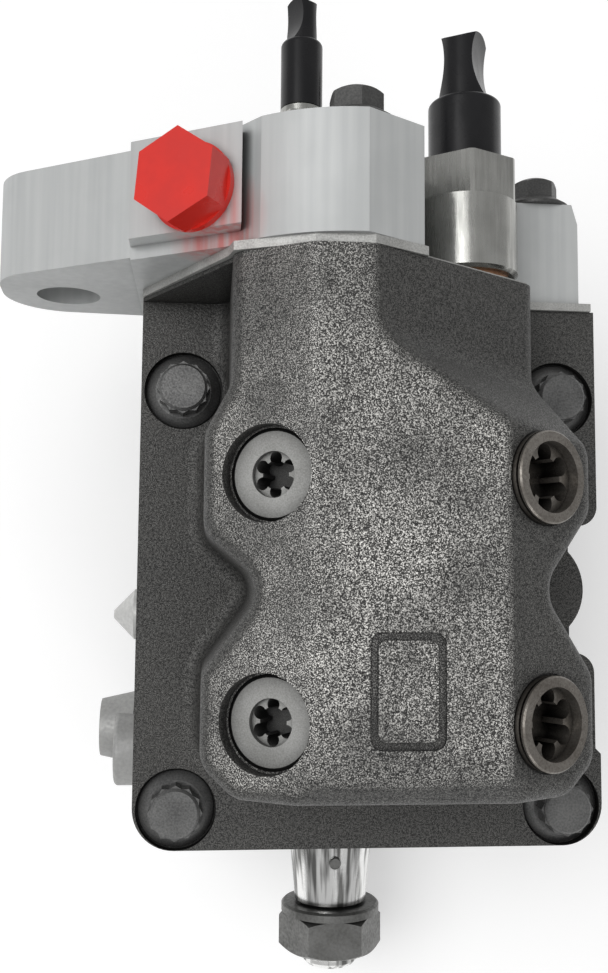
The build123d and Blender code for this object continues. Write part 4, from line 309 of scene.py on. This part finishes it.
def drawn_steel(name, light, dark):
    """Bright ground shaft: painted reflection bands of light and dark run along it, and its end is
    plain.
    """
    s = Shader(name, light, metallic=1.0, roughness=0.2)
    # painted reflection: bands of light and dark along the shaft
    reflection_bands = s.noise(REFLECTION_BAND_PER_M, detail=2.0, stretch=ALONG_SHAFT)
    scratches = s.noise(SCRATCH_PER_M, detail=2.0, stretch=ROUND_SHAFT)
    end_face = s.ramp(s.facing((0.0, -1.0, 0.0)), ((0.80, 0.0), (0.95, 1.0)))
    tone = s.mix(s.ramp(reflection_bands, ((0.42, 0.0), (0.56, 1.0))), dark, light)
    # painted shade darkens recesses
    s.color(s.painted_recess_shade(s.mix(end_face, tone, SHAFT_END_TONE), 3.0 * MM, 0.4))
    s.rough(s.ramp(scratches, ((0.3, 0.26), (0.7, 0.16))))
    s.bump(scratches, 0.01 * MM, 0.5)
    return s.material


MOTTLE_PER_M = 120.0
PEEL_PER_M = 1400.0
COAT_ROUGHNESS = 0.12


def plastic(name, light, dark, roughness, coat=0.0, depth=0.02, specular=0.5):
    """Moulded plastic or vinyl with a faint mottle and orange-peel gloss."""
    s = Shader(
        name,
        light,
        roughness=roughness,
        Coat_Weight=coat,
        Coat_Roughness=COAT_ROUGHNESS,
        Specular_IOR_Level=specular,
    )
    mottle = s.noise(MOTTLE_PER_M, detail=3.0)
    peel = s.noise(PEEL_PER_M, detail=1.0)
    s.color(s.mix(s.ramp(mottle, ((0.35, 0.0), (0.65, 1.0))), dark, light))
    s.rough(s.ramp(mottle, ((0.3, roughness + 0.08), (0.7, roughness - 0.05))))
    s.bump(peel, depth * MM, 0.5)
    return s.material


DEEP_BORE_SHADE = {"recess_shade": 0.04, "reach": 10.0 * MM}  # painted shade: plugs are dark deep inside their bores

IRON = cast_iron("iron")
ALUMINIUM = machined_aluminium("aluminium")
PLATE_STEEL = steel(
    "plate_steel",
    (0.46, 0.46, 0.445),
    (0.26, 0.26, 0.25),
    0.45,
    grain=2200.0,
    depth=0.08,
    metallic=0.4,
)
GASKET = plastic("gasket", (0.05, 0.05, 0.05), (0.03, 0.03, 0.03), 0.7)
BOLT = steel(
    "bolt_steel",
    (0.155, 0.155, 0.152),
    (0.065, 0.065, 0.065),
    0.44,
    grain=1800.0,
    depth=0.05,
    metallic=0.5,
)
REAR_BOLT = steel(
    "rear_bolt_steel",
    (0.085, 0.085, 0.082),
    (0.04, 0.04, 0.04),
    0.46,
    grain=1800.0,
    depth=0.05,
    metallic=0.4,
)
SHAFT = drawn_steel("shaft_steel", (0.85, 0.85, 0.84), (0.17, 0.17, 0.165))
NUT = steel("nut_steel", (0.20, 0.20, 0.195), (0.11, 0.11, 0.105), 0.40, grain=900.0, metallic=0.8)
PLUG_LIGHT = steel(
    "plug_light",
    (0.33, 0.33, 0.32),
    (0.21, 0.21, 0.20),
    0.50,
    grain=2600.0,
    metallic=0.4,
    **DEEP_BORE_SHADE,
)
PLUG_BROWN = steel(
    "plug_brown",
    (0.22, 0.205, 0.185),
    (0.10, 0.088, 0.076),
    0.34,
    grain=1500.0,
    metallic=0.7,
    **DEEP_BORE_SHADE,
)
CONNECTOR = steel(
    "connector_steel", (0.42, 0.42, 0.40), (0.30, 0.30, 0.285), 0.26, stretch=(1, 0.08, 1)
)
PALE_METAL = steel("pale_metal", (0.60, 0.60, 0.585), (0.50, 0.50, 0.49), 0.45, metallic=0.3)
GREY_METAL = steel("grey_metal", (0.36, 0.36, 0.35), (0.29, 0.29, 0.285), 0.5, metallic=0.2)
COPPER = steel("copper", (0.60, 0.33, 0.20), (0.42, 0.22, 0.13), 0.4)
INNER = steel("inner_steel", (0.55, 0.55, 0.55), (0.42, 0.42, 0.42), 0.3)
BRONZE = steel("bronze", (0.60, 0.45, 0.26), (0.45, 0.33, 0.18), 0.4)
BRASS = steel("contact_brass", (0.75, 0.60, 0.30), (0.6, 0.46, 0.22), 0.3)
RED = plastic("red_plastic", (0.62, 0.020, 0.012), (0.54, 0.014, 0.008), 0.30, coat=0.25)
BLACK = plastic("black_vinyl", (0.010, 0.010, 0.011), (0.006, 0.006, 0.007), 0.26, specular=0.25)
RUBBER = plastic("seal_rubber", (0.02, 0.02, 0.02), (0.012, 0.012, 0.012), 0.6)

BY_SLOT = {
    "cast_iron": IRON,
    "machined_aluminium": ALUMINIUM,
    "plate_steel": PLATE_STEEL,
    "gasket": GASKET,
    "bolt_steel": BOLT,
    "shaft_steel": SHAFT,
    "plug_light": PLUG_LIGHT,
    "plug_brown": PLUG_BROWN,
    "connector_steel": CONNECTOR,
    "copper_seal": COPPER,
    "red_plastic": RED,
    "black_vinyl": BLACK,
    "valve_body": GREY_METAL,
    "contact_brass": BRASS,
    "seal_rubber": RUBBER,
    "bearing_bronze": BRONZE,
    "inner_steel": INNER,
}
BY_NODE = {
    "shaft_nut": NUT,
    "shaft_washer": NUT,
    "index_pin": NUT,
    "overflow_valve_body": PALE_METAL,
    "rear_bolts": REAR_BOLT,
}

for entry in frame["record"]["subparts"]:
    node = nodes[entry["node"]]
    node.data.materials.clear()
    node.data.materials.append(BY_NODE.get(entry["node"], BY_SLOT[entry["material_slot"]]))

# ---------------------------------------------------------------- floor and light
FLOOR_GAP = 0.5 * MM
FLOOR_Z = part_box("cam_housing")[0].z - FLOOR_GAP
FLOOR_HALF = 4.0
FLOOR_TONE = (0.93, 0.93, 0.93)
FLOOR_LIFT = 0.16  # the floor shows this much whiter than the lamps make it
FAR_LIFT = 0.50  # and this much where the lamps no longer reach it
NEAR_FLOOR = 0.35
FAR_FLOOR = 1.6
WHITE = (1.0, 1.0, 1.0, 1.0)

SQUARE = ((-1, -1), (1, -1), (1, 1), (-1, 1))
corners = [(x * FLOOR_HALF, y * FLOOR_HALF, FLOOR_Z) for x, y in SQUARE]
floor_mesh = bpy.data.meshes.new("floor")
floor_mesh.from_pydata(corners, [], [(0, 1, 2, 3)])
floor = bpy.data.objects.new("floor", floor_mesh)
bpy.context.scene.collection.objects.link(floor)
floor_shader = Shader("floor", FLOOR_TONE, roughness=0.9, Specular_IOR_Level=0.1)
rays = floor_shader.node("ShaderNodeLightPath")
floor_shader.shader.inputs["Emission Color"].default_value = WHITE
floor_seen = floor_shader.math(
    "MAXIMUM", rays.outputs["Is Camera Ray"], rays.outputs["Is Glossy Ray"]
)
floor_reach = floor_shader.node("ShaderNodeVectorMath", operation="LENGTH")
floor_shader.link(floor_shader.place, floor_reach.inputs[0])
floor_lit = floor_shader.between(floor_reach.outputs["Value"], NEAR_FLOOR, FAR_FLOOR)
floor_lit = floor_shader.math("MULTIPLY", floor_lit, FAR_LIFT - FLOOR_LIFT)
floor_lit = floor_shader.math("ADD", floor_lit, FLOOR_LIFT)
floor_lit = floor_shader.math("MULTIPLY", floor_seen, floor_lit)
floor_shader.link(floor_lit, floor_shader.shader.inputs["Emission Strength"])
floor_mesh.materials.append(floor_shader.material)

WORLD_STRENGTH = 0.52  # light on the object
world = bpy.data.worlds.new("world")
world.use_nodes = True
tree = world.node_tree
light = tree.nodes["Background"]
light.inputs["Color"].default_value = WHITE
light.inputs["Strength"].default_value = WORLD_STRENGTH
backdrop = tree.nodes.new("ShaderNodeBackground")
backdrop.inputs["Color"].default_value = WHITE
backdrop.inputs["Strength"].default_value = 1.0
seen = tree.nodes.new("ShaderNodeLightPath")
either = tree.nodes.new("ShaderNodeMixShader")
tree.links.new(seen.outputs["Is Camera Ray"], either.inputs["Fac"])
tree.links.new(light.outputs["Background"], either.inputs[1])
tree.links.new(backdrop.outputs["Background"], either.inputs[2])
tree.links.new(either.outputs["Shader"], tree.nodes["World Output"].inputs["Surface"])
bpy.context.scene.world = world

CENTRE = Vector((0.0, 0.08, 0.06))
LAMPS = (
    ("key", Vector((-0.5, 0.25, 1.1)), 0.7, 7.5),
    ("front", Vector((0.35, -0.9, 0.75)), 0.6, 2.5),
)
for name, at, size, power in LAMPS:
    lamp_data = bpy.data.lights.new(name, "AREA")
    lamp_data.size = size
    lamp_data.energy = power
    lamp = bpy.data.objects.new(name, lamp_data)
    lamp.location = at
    lamp.rotation_mode = "QUATERNION"
    lamp.rotation_quaternion = (CENTRE - at).to_track_quat("-Z", "Y")
    bpy.context.scene.collection.objects.link(lamp)

bpy.context.scene.view_settings.view_transform = "Standard"
